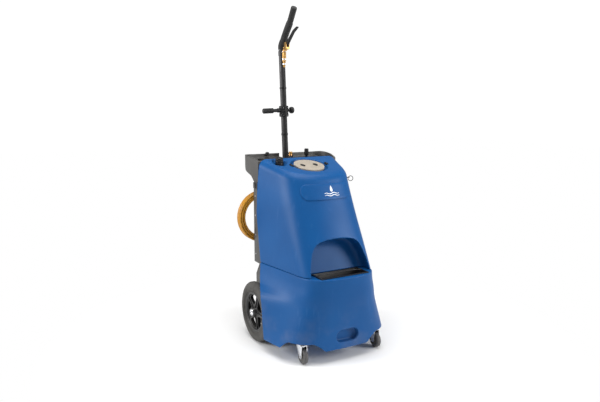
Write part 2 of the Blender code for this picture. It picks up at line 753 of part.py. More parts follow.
# ---------------------------------------------------------------- rear wheels
turned("axle", [(0, 0.2975), (axleR - 0.001, 0.2975), (axleR, 0.2965), (axleR, -0.2965),
                (axleR - 0.001, -0.2975), (0, -0.2975)], steel, 20,
       placed(0, axleY, wheelR, "X"))
tyreMid = wheelOuter - tyreWidth / 2
for side in (-1, 1):
    tag = "left" if side < 0 else "right"
    place = placed(side * tyreMid, axleY, wheelR, "X", side)
    w = tyreWidth / 2
    turned("tyre_" + tag, [(rimR, w - 0.006), (rimR + 0.012, w - 0.002), (rimR + 0.030, w),
                           (wheelR - 0.012, w - 0.002), (wheelR - 0.004, w - 0.007),
                           (wheelR, w - 0.015), (wheelR, -w + 0.015),
                           (wheelR - 0.004, -w + 0.007), (wheelR - 0.012, -w + 0.002),
                           (rimR + 0.030, -w), (rimR + 0.012, -w + 0.002), (rimR, -w + 0.006)],
           rubber, 36, place)
    hub = turned("hub_" + tag, [(axleR + 0.0001, 0.026), (hubR - 0.003, 0.026),
                                (hubR, 0.023), (hubR + 0.002, 0.011), (0.088, 0.007),
                                (0.092, 0.015), (rimR - gap, 0.016),
                                (rimR - gap, -0.016), (0.092, -0.015), (0.088, -0.006),
                                (hubR, -0.009), (hubR, -0.0085), (hubR - 0.004, -0.0100),
                                (axleR + 0.0001, -0.0100)],
                 black, 36, place)
    windows = bmesh.new()
    for k in range(5):
        mid = math.radians(90 + 72 * k)
        ring = []
        for r, spread in ((0.037, 12), (0.060, 23), (0.084, 26)):
            ring.append((r, spread))
        pts = [(r, s) for r, s in ring] + [(0.086, 13), (0.0865, 0), (0.086, -13)]
        pts += [(r, -s) for r, s in reversed(ring)]
        rows = []
        for h in (-0.05, 0.05):
            rows.append([windows.verts.new((r * math.cos(mid + math.radians(s)),
                                            r * math.sin(mid + math.radians(s)), h))
                         for r, s in pts])
        n = len(pts)
        for i in range(n):
            j = (i + 1) % n
            windows.faces.new((rows[0][i], rows[0][j], rows[1][j], rows[1][i]))
        windows.faces.new(list(reversed(rows[0])))
        windows.faces.new(rows[1])
    windows.transform(place)
    cut(hub, fromBmesh("windows_" + tag, windows))
    turned("hub_cap_" + tag, [(0, 0.0325), (0.013, 0.0325), (0.0160, 0.0310), (0.0175, 0.0260 + gap),
                              (axleR + 0.002, 0.0260 + gap), (0, 0.0260 + gap)],
           chrome, 24, place)

# ---------------------------------------------------------------- casters
for side in (-1, 1):
    tag = "left" if side < 0 else "right"
    x = side * casterX
    turned("caster_plate_" + tag, [(0, casterTop), (0.028, casterTop), (0.028, casterTop - 0.003),
                                   (0.020, casterTop - 0.0035), (0.018, casterTop - 0.009),
                                   (0, casterTop - 0.009)], chrome, 24, placed(x, casterY, 0))
    wy = casterY - casterTrail
    forkTop = casterTop - 0.009 - gap
    half = casterWidth / 2 + 0.0012
    fork = block("caster_fork_" + tag, (x - half - 0.0025, wy - 0.012, casterR - 0.010),
                 (x + half + 0.0025, casterY + 0.016, forkTop), chrome)
    shape = [(wy - 0.06, 0.0), (wy - 0.06, 0.2), (wy - 0.009, 0.2), (wy - 0.012, casterR + 0.012),
             (wy - 0.012, casterR), (wy - 0.008, casterR - 0.010), (wy - 0.008, 0.0)]
    cut(fork, prism("fork_front_" + tag, shape, "X", x - 0.05, x + 0.05))
    shape = [(casterY + 0.06, 0.0), (wy + 0.008, 0.0), (wy + 0.012, casterR),
             (casterY + 0.010, forkTop - 0.020), (casterY + 0.0155, forkTop - 0.010),
             (casterY + 0.06, forkTop - 0.010)]
    cut(fork, prism("fork_back_" + tag, shape, "X", x - 0.05, x + 0.05))
    cut(fork, block("fork_space_" + tag, (x - half, wy - 0.1, -0.01),
                    (x + half, casterY + 0.1, forkTop - 0.003)))
    cut(fork, turned("pin_space_" + tag, [(0, 0.05), (0.0032 + gap, 0.05), (0.0032 + gap, -0.05),
                                          (0, -0.05)], None, 16,
                     placed(x, wy, casterR, "X")))
    setOrigin(fork, (x, casterY, forkTop))
    place = placed(x, wy, casterR, "X")
    w = casterWidth / 2
    turned("caster_wheel_" + tag, [(0.0033, w), (0.009, w), (0.010, w - 0.002), (0.025, w - 0.003),
                                   (0.026, w - 0.001), (casterR - 0.004, w - 0.001),
                                   (casterR, w - 0.005), (casterR, -w + 0.005),
                                   (casterR - 0.004, -w + 0.001), (0.026, -w + 0.001),
                                   (0.025, -w + 0.003), (0.010, -w + 0.002), (0.009, -w),
                                   (0.0033, -w)], rubber, 20, place)
    pin = half + 0.0025
    turned("caster_pin_" + tag, [(0, pin + 0.003), (0.005, pin + 0.003), (0.006, pin + gap),
                                 (0.0032, pin + gap), (0.0032, -pin - gap),
                                 (0.006, -pin - gap), (0.005, -pin - 0.003), (0, -pin - 0.003)],
           steel, 16, place)

# ---------------------------------------------------------------- wand


def wandX(z):
    return wandTopX + (z - wandBaseZ) * wandLean


headTop = 0.285
gripStart = 1.467
tube("wand_tube", [(wandX(z), wandY, z) for z in (headTop + 0.0009, 0.6, 0.937, 1.2, gripStart - gap)],
     wandR, darkSteel, 5)
gripFoot = (wandX(gripStart + gap), wandY, gripStart + gap)
gripPath = [(wandX(1.478), wandY, 1.478), (wandX(1.489), wandY - 0.006, 1.491),
            (wandX(1.51), wandY - 0.027, 1.513), (wandX(1.55), wandY - 0.066, 1.555),
            (wandX(1.59), wandY - 0.1015, 1.592)]
grip = tube("wand_grip", [gripFoot] + smoothPath(gripPath, 11) + [
    Vector((wandX(1.595), wandY - 0.1045, 1.596)), Vector((wandX(1.66), wandY - 0.153, 1.660))],
    wandR + 0.0025, black, 4)
for spot in grip.data.splines[0].points[-2:]:
    spot.radius = 0.86

# valve, trigger and solution line on the grip's underside
valveX = wandX(1.43)
valveY = wandY - wandR - 0.0105
valve = turned("wand_valve", [(0, 0.100), (0.006, 0.100), (0.006, 0.088), (0.010, 0.086), (0.010, 0.030),
                      (0.0075, 0.028), (0.0075, 0.010), (0.005, 0.008), (0.005, 0.0),
                              (0, 0.0)], brass, 16, placed(valveX, valveY, 1.375))
pivot = (wandX(1.49), wandY - 0.060, 1.4905)
shape = ((0.012, -0.012), (0.006, 0.004), (-0.033, 0.0295), (-0.073, 0.0595), (-0.111, 0.0735),
         (-0.115, 0.0675), (-0.075, 0.0475), (-0.037, 0.0155), (-0.006, -0.012))
trigger = prism("wand_trigger", [(pivot[1] + y, pivot[2] + z) for y, z in shape], "X", pivot[0] - 0.0065, pivot[0] + 0.0065, black)
setOrigin(trigger, pivot)
join(valve, block("trigger_arm", (pivot[0] - 0.0060, pivot[1] + 0.0070, 1.4560),
                  (pivot[0] + 0.0060, valveY - 0.004, 1.4700)))
join(valve, block("trigger_ears", (pivot[0] - 0.0100, pivot[1] - 0.0110, 1.4620),
                  (pivot[0] + 0.0100, pivot[1] + 0.0120, pivot[2] + 0.0070)))
cut(valve, block("trigger_slot", (pivot[0] - 0.0065 - gap, pivot[1] - 0.0230, pivot[2] - 0.0172),
                 (pivot[0] + 0.0065 + gap, pivot[1] + 0.0220, 1.5200)))
tube("solution_line", smoothPath([(valveX, valveY, 1.375 - gap), (valveX, valveY - 0.002, 1.34),
                                  (wandX(1.27), wandY - wandR - 0.0065, 1.27),
                                  (wandX(0.80), wandY - wandR - 0.0065, 0.80),
                                  (wandX(headTop + 0.06), wandY - wandR - 0.0065,
                                   headTop + 0.06)], 30), 0.0045, chrome, 2)

# helper handle: a clamp round the tube, a side bar and a round knob
clampZ = 1.150
clampX = wandX(clampZ)
leaning = Matrix.Rotation(math.atan(wandLean), 4, "Y")
clampAt = Matrix.Translation((clampX, wandY, clampZ)) @ leaning
clampR = wandR + 0.0085
clamp = turned("handle_clamp", [(wandR + gap, 0.028), (clampR - 0.0015, 0.028), (clampR, 0.026),
                                (clampR, -0.026), (clampR - 0.0015, -0.028),
                                (wandR + gap, -0.028)], black, 24, clampAt)
cut(clamp, block("line_space", (clampX - 0.006, wandY - 0.04, clampZ - 0.05),
                 (clampX + 0.006, wandY - 0.008, clampZ + 0.05)))
turned("side_bar", [(0, 0.098), (0.010, 0.098), (0.0135, 0.094), (0.0135, 0.040), (0.009, 0.036),
                    (0.009, 0), (0, 0)], black, 20,
       clampAt @ placed(-clampR - gap, 0, 0.006, "X", -1))
turned("clamp_knob", [(0, 0.034), (0.010, 0.034), (0.016, 0.030), (0.0175, 0.022), (0.016, 0.012),
                      (0.0075, 0.010), (0.0075, 0), (0, 0)], black, 20,
       clampAt @ placed(clampR + gap, 0, 0.004, "X"))

# wand head: from the tube down to a wide mouth
headX = wandX(headTop)
mouthZ = 0.1085
rings = []
for z, halfX, halfY, squash in ((mouthZ, 0.150, 0.014, 0.12), (mouthZ + 0.020, 0.150, 0.015, 0.14),
                                (mouthZ + 0.055, 0.130, 0.020, 0.3),
                                (mouthZ + 0.100, 0.070, 0.022, 0.6),
                                (mouthZ + 0.140, 0.026, 0.021, 1.0),
                                (headTop, wandR + 0.0035, wandR + 0.0035, 1.0)):
    ring = []
    for i in range(24):
        a = 2 * math.pi * i / 24
        c, s = math.cos(a), math.sin(a)
        ring.append((headX + halfX * math.copysign(abs(c) ** squash, c),
                     wandY + halfY * math.copysign(abs(s) ** squash, s), z))
    rings.append(ring)
head = loft("wand_head", rings, darkSteel)
cut(head, block("mouth_space", (headX - 0.140, wandY - 0.006, mouthZ - 0.01),
                (headX + 0.140, wandY + 0.006, mouthZ + 0.028)))

# shelf under the wand head, fixed to the rear cover
shelfTop = mouthZ - gap
shelfLip = wandY + 0.020
outline = [(coverRear + gap, shelfTop - 0.030), (coverRear + gap, shelfTop), (shelfLip, shelfTop),
           (shelfLip, shelfTop + 0.020), (shelfLip + 0.005, shelfTop + 0.020),
           (shelfLip + 0.005, shelfTop - 0.005),
           (coverRear + 0.030, shelfTop - 0.005), (coverRear + 0.006, shelfTop - 0.030)]
prism("wand_shelf", outline, "X", headX - 0.080, headX + 0.080, steel)

# ---------------------------------------------------------------- cord
hookR = 0.007
for tag, z, up in (("upper", coilZ + coilInner - hookR - gap, 1),
                   ("lower", coilZ - coilInner + hookR + gap, -1)):
    root = between([(zz, y) for y, zz in frameLine], z)[0] + frameSheet + 4 * gap
    root = max(root, between([(zz, y) for y, zz in frameLine], z + hookR)[0] + frameSheet + gap)
    tip = coilY + coilThick / 2 + 0.012
    tube("cord_hook_" + tag, smoothPath([(coilX, root, z), (coilX, tip - 0.016, z),
                                         (coilX, tip - 0.003, z + up * 0.004),
                                         (coilX, tip, z + up * 0.016),
                                         (coilX, tip, z + up * 0.040)], 14),
         hookR, black, 3)
halfThick = coilThick / 2
coilRound = 0.012
turned("cord_coil", [(coilInner, halfThick - coilRound), (coilInner + coilRound, halfThick),
                     (coilOuter - coilRound, halfThick), (coilOuter, halfThick - coilRound),
                     (coilOuter, -halfThick + coilRound), (coilOuter - coilRound, -halfThick),
                     (coilInner + coilRound, -halfThick), (coilInner, -halfThick + coilRound)],
       yellow, 32, placed(coilX, coilY, coilZ, "Y"))
glandX = -0.100
glandZ = 0.330
glandTip = coverRear + 0.034
turned("cord_gland", [(0, 0.040), (0.0062, 0.040), (0.0085, 0.012), (0.0120, 0.010),
                      (0.0120, 0.006 + gap), (0.0090, 0.006 + gap), (0.0090, -0.006), (0, -0.006)],
       black, 20, placed(glandX, bayRear + gap, glandZ, "Y"))
cordStart = Vector((glandX, bayRear + 3 * gap + 0.040, glandZ))
endAngle = math.radians(-36)
outward = Vector((math.cos(endAngle), 0, math.sin(endAngle)))
touch = Vector((coilX, coilY, coilZ)) + outward * (coilOuter + 2 * gap)
tube("cord_lead", smoothPath([cordStart, cordStart + Vector((0, 0.010, 0)),
                              Vector((-0.0995, 0.2300, 0.3305)), Vector((-0.095, 0.248, 0.340)),
                              Vector((-0.085, 0.260, 0.364)), Vector((-0.071, 0.261, 0.398)),
                              Vector((-0.055, 0.252, 0.440)),
                              touch + outward * 0.030, touch + outward * 0.012,
                              touch], 26), cordR, yellow, 2)
plugTurn = math.radians(-75)
plugDir = Vector((math.cos(plugTurn), 0, math.sin(plugTurn)))
plugAt = Vector((coilX, coilY, coilZ)) + plugDir * (coilOuter + gap)
plugFrame = Matrix.Translation(plugAt) @ plugDir.to_track_quat("Z", "Y").to_matrix().to_4x4()
tail = 0.028                 # cord between the coil and the plug, part of the plug's solid
plugShape = ((0, 0.062), (0.0130, 0.062), (0.0165, 0.058), (0.0165, 0.040), (0.0140, 0.034),
             (0.0120, 0.022), (0.0070, 0.018), (0.0062, 0.0))
plug = turned("plug", [(r, tail + h) for r, h in plugShape] + [(cordR, tail), (cordR, 0), (0, 0)],
              black, 20, plugFrame)
for number, (x, y, wide, thick) in enumerate(((-0.0065, 0.003, 0.0016, 0.0063),
                                              (0.0065, 0.003, 0.0016, 0.0063),
                                              (0.0, -0.0075, 0.0046, 0.0046))):
    blade = bmesh.new()
    bmesh.ops.create_cube(blade, size=1.0)
    bmesh.ops.scale(blade, vec=(wide, thick, 0.026), verts=blade.verts)
    bmesh.ops.translate(blade, vec=(x, y, tail + 0.067), verts=blade.verts)
    blade.transform(plugFrame)
    join(plug, fromBmesh("plug_blade_%d" % number, blade))

# wire ring in an eyelet on the +X front corner of the recovery tank
ringZ = topZ - 0.068
ringR = 0.0125
wireR = 0.0016
half = halfOutline(between(upperPlan, ringZ))
spot = sideSteps + 2
run = (half[spot + 1] - half[spot - 1]).normalized()
outward = Vector((-run.y, run.x, 0))
if outward.x < 0:
    outward = -outward
sideways = Vector((-outward.y, outward.x, 0))
base = Vector((half[spot].x, half[spot].y, ringZ))
eyeFrame = Matrix((
    (outward.x, sideways.x, 0, base.x),
    (outward.y, sideways.y, 0, base.y),
    (0, 0, 1, base.z),
    (0, 0, 0, 1)))
eyeOut = 0.0085
eye = bmesh.new()
bmesh.ops.create_cube(eye, size=1.0)
bmesh.ops.scale(eye, vec=(0.0135, 0.0110, 0.0030), verts=eye.verts)
bmesh.ops.translate(eye, vec=(0.0073, 0, 0), verts=eye.verts)
eye.transform(eyeFrame)
eyelet = fromBmesh("ring_eyelet", eye, black, False)
cut(eyelet, turned("eye_hole", [(0, 0.02), (0.0034, 0.02), (0.0034, -0.02), (0, -0.02)], None, 12,
                   eyeFrame @ Matrix.Translation((eyeOut, 0, 0))))
droop = math.radians(-25)
ringFrame = (eyeFrame @ Matrix.Translation((eyeOut + ringR * math.cos(droop), 0,
                                            ringR * math.sin(droop)))
             @ Matrix.Rotation(math.pi / 2, 4, "X"))
wire = []
for i in range(8):
    a = 2 * math.pi * i / 8
    wire.append((ringR + wireR * math.cos(a), -wireR * math.sin(a)))
turned("wire_ring", wire, steel, 24, ringFrame)
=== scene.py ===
import json
import math
import bmesh
import bpy
from mathutils import Matrix, Vector


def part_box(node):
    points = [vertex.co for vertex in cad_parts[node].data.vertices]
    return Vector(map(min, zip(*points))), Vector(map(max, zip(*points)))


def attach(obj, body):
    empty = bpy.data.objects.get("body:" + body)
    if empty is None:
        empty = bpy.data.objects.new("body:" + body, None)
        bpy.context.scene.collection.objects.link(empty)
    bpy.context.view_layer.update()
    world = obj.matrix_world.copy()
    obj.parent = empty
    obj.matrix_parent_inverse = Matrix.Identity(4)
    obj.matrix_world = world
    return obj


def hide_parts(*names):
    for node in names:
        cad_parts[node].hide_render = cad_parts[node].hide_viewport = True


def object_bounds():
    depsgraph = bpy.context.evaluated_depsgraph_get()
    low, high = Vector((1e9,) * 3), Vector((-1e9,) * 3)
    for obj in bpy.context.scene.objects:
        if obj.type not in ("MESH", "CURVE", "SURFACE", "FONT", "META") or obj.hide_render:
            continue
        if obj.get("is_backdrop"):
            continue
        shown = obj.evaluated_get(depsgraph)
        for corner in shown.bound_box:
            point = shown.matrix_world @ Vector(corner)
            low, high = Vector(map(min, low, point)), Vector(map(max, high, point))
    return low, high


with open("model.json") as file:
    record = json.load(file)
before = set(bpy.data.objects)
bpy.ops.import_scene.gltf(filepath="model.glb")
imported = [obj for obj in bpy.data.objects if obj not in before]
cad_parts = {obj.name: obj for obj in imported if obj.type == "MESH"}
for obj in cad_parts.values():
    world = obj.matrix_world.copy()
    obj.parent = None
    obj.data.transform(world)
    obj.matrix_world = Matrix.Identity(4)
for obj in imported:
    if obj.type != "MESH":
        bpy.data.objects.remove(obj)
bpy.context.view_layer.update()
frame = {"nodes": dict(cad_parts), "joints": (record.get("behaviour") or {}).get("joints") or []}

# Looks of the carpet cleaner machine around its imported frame. Metres, +Z up, the front faces -Y.
touch = 0.0003
joints = {joint["name"]: joint for joint in frame["joints"]}


def middle(node):
    low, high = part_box(node)
    return (low + high) / 2


# the camera looks at the front left, a little from above
view = {"at": (-1.4893, -2.5511, 1.208), "tilt": 90 - 9.545, "turn": -28.985, "lens": 36.0}
camera = bpy.data.objects.new("camera", bpy.data.cameras.new("camera"))
camera.data.lens = view["lens"]
camera.data.sensor_width = 36.0
camera.location = view["at"]
camera.rotation_euler = (math.radians(view["tilt"]), 0.0, math.radians(view["turn"]))
bpy.context.scene.collection.objects.link(camera)
bpy.context.scene.camera = camera
bpy.context.scene.view_settings.view_transform = "Standard"


# shader maths
class Value:
    # a socket that takes part in ordinary arithmetic
    def __init__(self, finish, socket):
        self.finish = finish
        self.socket = socket

    def math(self, operation, *terms):
        return self.finish.node("Math", {"operation": operation}, dict(enumerate(terms)))

    def __add__(self, other):
        return self.math("ADD", self, other)

    def __rsub__(self, other):
        return self.math("SUBTRACT", other, self)

    def __mul__(self, other):
        return self.math("MULTIPLY", self, other)

    __radd__ = __add__


class Finish:
    # one material; node() adds any node and hands back its output
    def __init__(self, name, roughness, metallic=0.0, specular=0.5):
        self.material = bpy.data.materials.new(name)
        self.material.use_nodes = True
        self.tree = self.material.node_tree
        self.shader = self.tree.nodes["Principled BSDF"]
        self.shader.inputs["Roughness"].default_value = roughness
        self.shader.inputs["Metallic"].default_value = metallic
        self.shader.inputs["Specular IOR Level"].default_value = specular
        self.place = self.node("TexCoord", output="Object")

    def node(self, kind, settings=None, inputs=None, output=0):
        made = self.tree.nodes.new("ShaderNode" + kind)
        for key, value in (settings or {}).items():
            setattr(made, key, value)
        for key, value in (inputs or {}).items():
            self.feed(made.inputs[key], value)
        return Value(self, made.outputs[output])

    def feed(self, socket, value):
        if isinstance(value, Value):
            self.tree.links.new(value.socket, socket)
        else:
            socket.default_value = value

    def set(self, name, value):
        self.feed(self.shader.inputs[name], value)

    def noise(self, scale, detail=3.0, stretch=None):
        vector = self.place
        if stretch:
            vector = self.node("Mapping", inputs={"Vector": vector, "Scale": stretch})
        return self.node("TexNoise", inputs={"Vector": vector, "Scale": scale, "Detail": detail})

    def between(self, value, low, high, start=0.0, end=1.0):
        return self.node("MapRange", {"interpolation_type": "SMOOTHSTEP"},
                         {"Value": value, "From Min": low, "From Max": high,
                          "To Min": start, "To Max": end})

    def blend(self, share, first, second):
        first = first if isinstance(first, Value) else (*first, 1.0)
        second = second if isinstance(second, Value) else (*second, 1.0)
        return self.node("Mix", {"data_type": "RGBA"}, {0: share, 6: first, 7: second}, 2)

    def height(self):
        return self.node("SeparateXYZ", inputs={0: self.place}, output="Z")

    def relief(self, depth, distance, strength=1.0):
        bump = self.node("Bump", inputs={"Height": depth, "Distance": distance,
                                         "Strength": strength})
        self.set("Normal", bump)


def moulded(name, look):
    # moulded plastic: cloudy colour, a fine pebbled skin, rubbed and dusty patches
    finish = Finish(name, look["rough"], 0.0, look.get("gloss", 0.5))
    cloud = finish.between(finish.noise(look.get("cloud", 7.0), 4.0), 0.3, 0.7)
    speck = finish.between(finish.noise(220.0, 2.0), 0.62, 0.74)
    scuff = finish.between(finish.noise(38.0, 5.0, (1.0, 1.0, 0.16)), 0.60, 0.72)
    low = 1.0 - finish.between(finish.height(), 0.03, 0.34)
    dust = low * finish.between(finish.noise(11.0, 5.0), 0.42, 0.72)
    colour = finish.blend(cloud, look["colour"], look["deep"])
    colour = finish.blend(scuff * look.get("scuff", 0.10), colour, look["pale"])
    colour = finish.blend(speck * 0.06, colour, look["pale"])
    colour = finish.blend(dust * look.get("dust", 0.12), colour, (0.33, 0.31, 0.28))
    finish.set("Base Color", colour)
    finish.set("Roughness", look["rough"] - 0.05 + cloud * 0.06 + scuff * 0.07 + dust * 0.10)
    grain = finish.noise(look["grain"], 2.0) * 0.6 + finish.noise(look["grain"] * 0.22, 2.0) * 0.4
    finish.relief(grain + cloud * 0.2, look["depth"], 0.7)
    return finish.material


def rubber(name, look):
    finish = Finish(name, look["rough"], 0.0, 0.35)
    cloud = finish.between(finish.noise(16.0, 5.0), 0.35, 0.7)
    grit = finish.between(finish.noise(160.0, 4.0), 0.55, 0.68)
    colour = finish.blend(cloud, look["colour"], look["deep"])
    colour = finish.blend(grit * 0.35, colour, look["pale"])
    finish.set("Base Color", colour)
    finish.set("Roughness", look["rough"] + cloud * 0.08 + grit * 0.06)
    finish.relief(finish.noise(420.0, 3.0) + grit * 0.5, look["depth"], 0.6)
    return finish.material


def metal(name, look):
    # plated or bare metal: drawn lines along one direction, dull patches
    finish = Finish(name, look["rough"], look.get("metallic", 1.0))
    patch = finish.between(finish.noise(look.get("patch", 24.0), 5.0), 0.42, 0.68)
    lines = finish.noise(look.get("lines", 300.0), 2.0, look.get("stretch", (1.0, 1.0, 0.06)))
    finish.set("Base Color", finish.blend(patch, look["colour"], look["dull"]))
    finish.set("Roughness", look["rough"] + patch * look.get("spread", 0.10) + lines * 0.05)
    finish.relief(lines + finish.noise(700.0, 1.0) * 0.3, look["depth"], 0.5)
    return finish.material


def jacket(name, look):
    # cord jacket: slick plastic with faint twist marks and handling grime
    finish = Finish(name, look["rough"])
    cloud = finish.between(finish.noise(30.0, 4.0), 0.35, 0.7)
    grime = finish.between(finish.noise(75.0, 5.0), 0.58, 0.75)
    colour = finish.blend(cloud, look["colour"], look["deep"])
    finish.set("Base Color", finish.blend(grime * 0.45, colour, look["grime"]))
    finish.set("Roughness", look["rough"] + grime * 0.15)
    finish.relief(finish.noise(260.0, 2.0) + cloud * 0.5, 0.0003, 0.5)
    return finish.material


blueShell = moulded("blue_shell_finish", {
    "colour": (0.004, 0.080, 0.262), "deep": (0.003, 0.070, 0.236), "pale": (0.06, 0.16, 0.38),
    "rough": 0.43, "gloss": 0.20, "grain": 620.0, "depth": 0.00022, "cloud": 5.0, "scuff": 0.12})
greyPlastic = moulded("grey_plastic_finish", {
    "colour": (0.070, 0.068, 0.064), "deep": (0.056, 0.054, 0.052), "pale": (0.20, 0.195, 0.185),
    "rough": 0.55, "grain": 480.0, "depth": 0.00030})
blackPlastic = moulded("black_plastic_finish", {
    "colour": (0.009, 0.009, 0.010), "deep": (0.006, 0.006, 0.006), "pale": (0.05, 0.05, 0.05),
    "rough": 0.42, "gloss": 0.32, "grain": 600.0, "depth": 0.00020})
hubPlastic = moulded("hub_plastic_finish", {
    "colour": (0.014, 0.014, 0.014), "deep": (0.009, 0.009, 0.010), "pale": (0.09, 0.09, 0.09),
    "rough": 0.36, "grain": 520.0, "depth": 0.00020, "dust": 0.10})
creamPlastic = moulded("cream_plastic_finish", {
    "colour": (0.42, 0.37, 0.305), "deep": (0.36, 0.315, 0.255), "pale": (0.58, 0.55, 0.50),
    "rough": 0.45, "grain": 520.0, "depth": 0.00020, "cloud": 24.0})
whiteMark = moulded("mark_finish", {
    "colour": (0.83, 0.85, 0.88), "deep": (0.76, 0.79, 0.83), "pale": (0.9, 0.9, 0.9),
    "rough": 0.40, "grain": 600.0, "depth": 0.00010})
tyreRubber = rubber("tyre_rubber_finish", {
    "colour": (0.070, 0.067, 0.062), "deep": (0.050, 0.048, 0.045), "pale": (0.14, 0.135, 0.125),
    "rough": 0.68, "depth": 0.0005})
casterRubber = rubber("caster_rubber_finish", {
    "colour": (0.10, 0.097, 0.098), "deep": (0.075, 0.073, 0.074), "pale": (0.22, 0.21, 0.20),
    "rough": 0.60, "depth": 0.0004})
gripRubber = rubber("grip_rubber_finish", {
    "colour": (0.022, 0.022, 0.022), "deep": (0.014, 0.014, 0.014), "pale": (0.07, 0.07, 0.07),
    "rough": 0.62, "depth": 0.0006})
brass = metal("brass_finish", {
    "colour": (0.50, 0.29, 0.095), "dull": (0.34, 0.19, 0.065), "rough": 0.33, "depth": 0.0002})
copper = metal("copper_finish", {
    "colour": (0.86, 0.46, 0.26), "dull": (0.60, 0.30, 0.16), "rough": 0.22, "depth": 0.0002})
chrome = metal("chrome_finish", {
    "colour": (0.80, 0.81, 0.83), "dull": (0.62, 0.63, 0.66), "rough": 0.12, "depth": 0.0001})
steel = metal("steel_finish", {
    "colour": (0.50, 0.50, 0.51), "dull": (0.36, 0.36, 0.37), "rough": 0.34, "depth": 0.0002})
motorCase = metal("motor_case_finish", {
    "colour": (0.38, 0.38, 0.40), "dull": (0.26, 0.26, 0.28), "rough": 0.42, "depth": 0.0003,
    "metallic": 0.7})
darkSteel = metal("dark_steel_finish", {
    "colour": (0.034, 0.033, 0.034), "dull": (0.026, 0.025, 0.026), "rough": 0.38,
    "depth": 0.0002, "metallic": 0.25, "stretch": (1.0, 1.0, 0.3)})
yellowCord = jacket("yellow_cord_finish", {
    "colour": (0.52, 0.24, 0.014), "deep": (0.42, 0.185, 0.011), "grime": (0.30, 0.15, 0.03),
    "rough": 0.36})
print("finishes made")


# mesh helpers
def solid(name, bm, finish, angle=34, recalculate=True):
    bmesh.ops.remove_doubles(bm, verts=bm.verts, dist=0.000002)
    if recalculate:
        bmesh.ops.recalc_face_normals(bm, faces=bm.faces)
    mesh = bpy.data.meshes.new(name)
    bm.to_mesh(mesh)
    bm.free()
    return linked(name, mesh, finish, angle)


def linked(name, mesh, finish, angle=34):
    mesh.materials.clear()
    mesh.materials.append(finish)
    mesh.shade_smooth()
    mesh.set_sharp_from_angle(angle=math.radians(angle))
    obj = bpy.data.objects.new(name, mesh)
    bpy.context.scene.collection.objects.link(obj)
    return obj


def settled(obj, angle=34):
    # the evaluated shape becomes the object's own plain mesh
    shape = obj.evaluated_get(bpy.context.evaluated_depsgraph_get())
    mesh = bpy.data.meshes.new_from_object(shape)
    obj.modifiers.clear()
    obj.data = mesh
    mesh.shade_smooth()
    mesh.set_sharp_from_angle(angle=math.radians(angle))
    return obj


def seat(obj, body, *nodes, slot=None):
    if nodes:
        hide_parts(*nodes)
    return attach(obj, body)


def bevelled(obj, width, segments=2, angle=38):
    bevel = obj.modifiers.new("edge", "BEVEL")
    bevel.width = width
    bevel.segments = segments
    bevel.limit_method = "ANGLE"
    bevel.angle_limit = math.radians(angle)
    bevel.harden_normals = False
    return settled(obj)


def carved(obj, tools, operation="DIFFERENCE"):
    for tool in tools:
        mod = obj.modifiers.new("cut", "BOOLEAN")
        mod.operation = operation
        mod.solver = "EXACT"
        mod.object = tool
        settled(obj)
        bpy.data.objects.remove(tool)
    return obj


def tool(bm):
    return solid("tool", bm, blueShell)


def gathered(target, part, place):
    # one more closed shape for a piece that is made of several
    part.transform(place)
    mesh = bpy.data.meshes.new("part")
    part.to_mesh(mesh)
    part.free()
    target.from_mesh(mesh)


def softened(points, radius, steps=4, closed=False):
    # rounds the corners of an outline, each by as much as its sides allow
    out = []
    count = len(points)
    for i, point in enumerate(points):
        here = Vector(point)
        if not closed and i in (0, count - 1):
            out.append(tuple(here))
            continue
        before = Vector(points[i - 1]) - here
        after = Vector(points[(i + 1) % count]) - here
        reach = min(radius, before.length * 0.45, after.length * 0.45)
        start = here + before.normalized() * reach
        end = here + after.normalized() * reach
        for k in range(steps + 1):
            t = k / steps
            out.append(tuple((1 - t) ** 2 * start + 2 * t * (1 - t) * here + t * t * end))
    return out


def lathe(profile, steps=64, place=None, bm=None):
    # turns (radius, height) pairs round local Z; a profile that starts off the axis is a closed loop
    bm = bm or bmesh.new()
    place = place or Matrix.Identity(4)
    rows = []
    for radius, height in profile:
        if radius < 1e-7:
            rows.append([bm.verts.new(place @ Vector((0, 0, height)))] * steps)
            continue
        rows.append([bm.verts.new(place @ Vector((radius * math.cos(2 * math.pi * i / steps),
                                                  radius * math.sin(2 * math.pi * i / steps),
                                                  height))) for i in range(steps)])
    pairs = list(zip(rows, rows[1:]))
    if profile[0][0] > 1e-7:
        pairs.append((rows[-1], rows[0]))
    for first, second in pairs:
        for i in range(steps):
            j = (i + 1) % steps
            corners = []
            for vert in (first[i], first[j], second[j], second[i]):
                if vert not in corners:
                    corners.append(vert)
            if len(corners) > 2:
                bm.faces.new(corners)
    return bm


def skin(rings, bm=None, closed=True):
    # a closed surface over rings of equal count, with a flat cap at each end
    bm = bm or bmesh.new()
    rows = [[bm.verts.new(point) for point in ring] for ring in rings]
    count = len(rings[0])
    for first, second in zip(rows, rows[1:]):
        for i in range(count):
            j = (i + 1) % count
            bm.faces.new((first[i], first[j], second[j], second[i]))
    if closed:
        bm.faces.new(list(reversed(rows[0])))
        bm.faces.new(rows[-1])
    return bm


def prism(outline, axis, low, high, bm=None):
    rings = []
    for level in (low, high):
        ring = []
        for a, b in outline:
            point = [a, b]
            point.insert("XYZ".index(axis), level)
            ring.append(point)
        rings.append(ring)
    return skin(rings, bm)


def brick(low, high, bm=None):
    outline = [(low[0], low[1]), (high[0], low[1]), (high[0], high[1]), (low[0], high[1])]
    return prism(outline, "Z", low[2], high[2], bm)


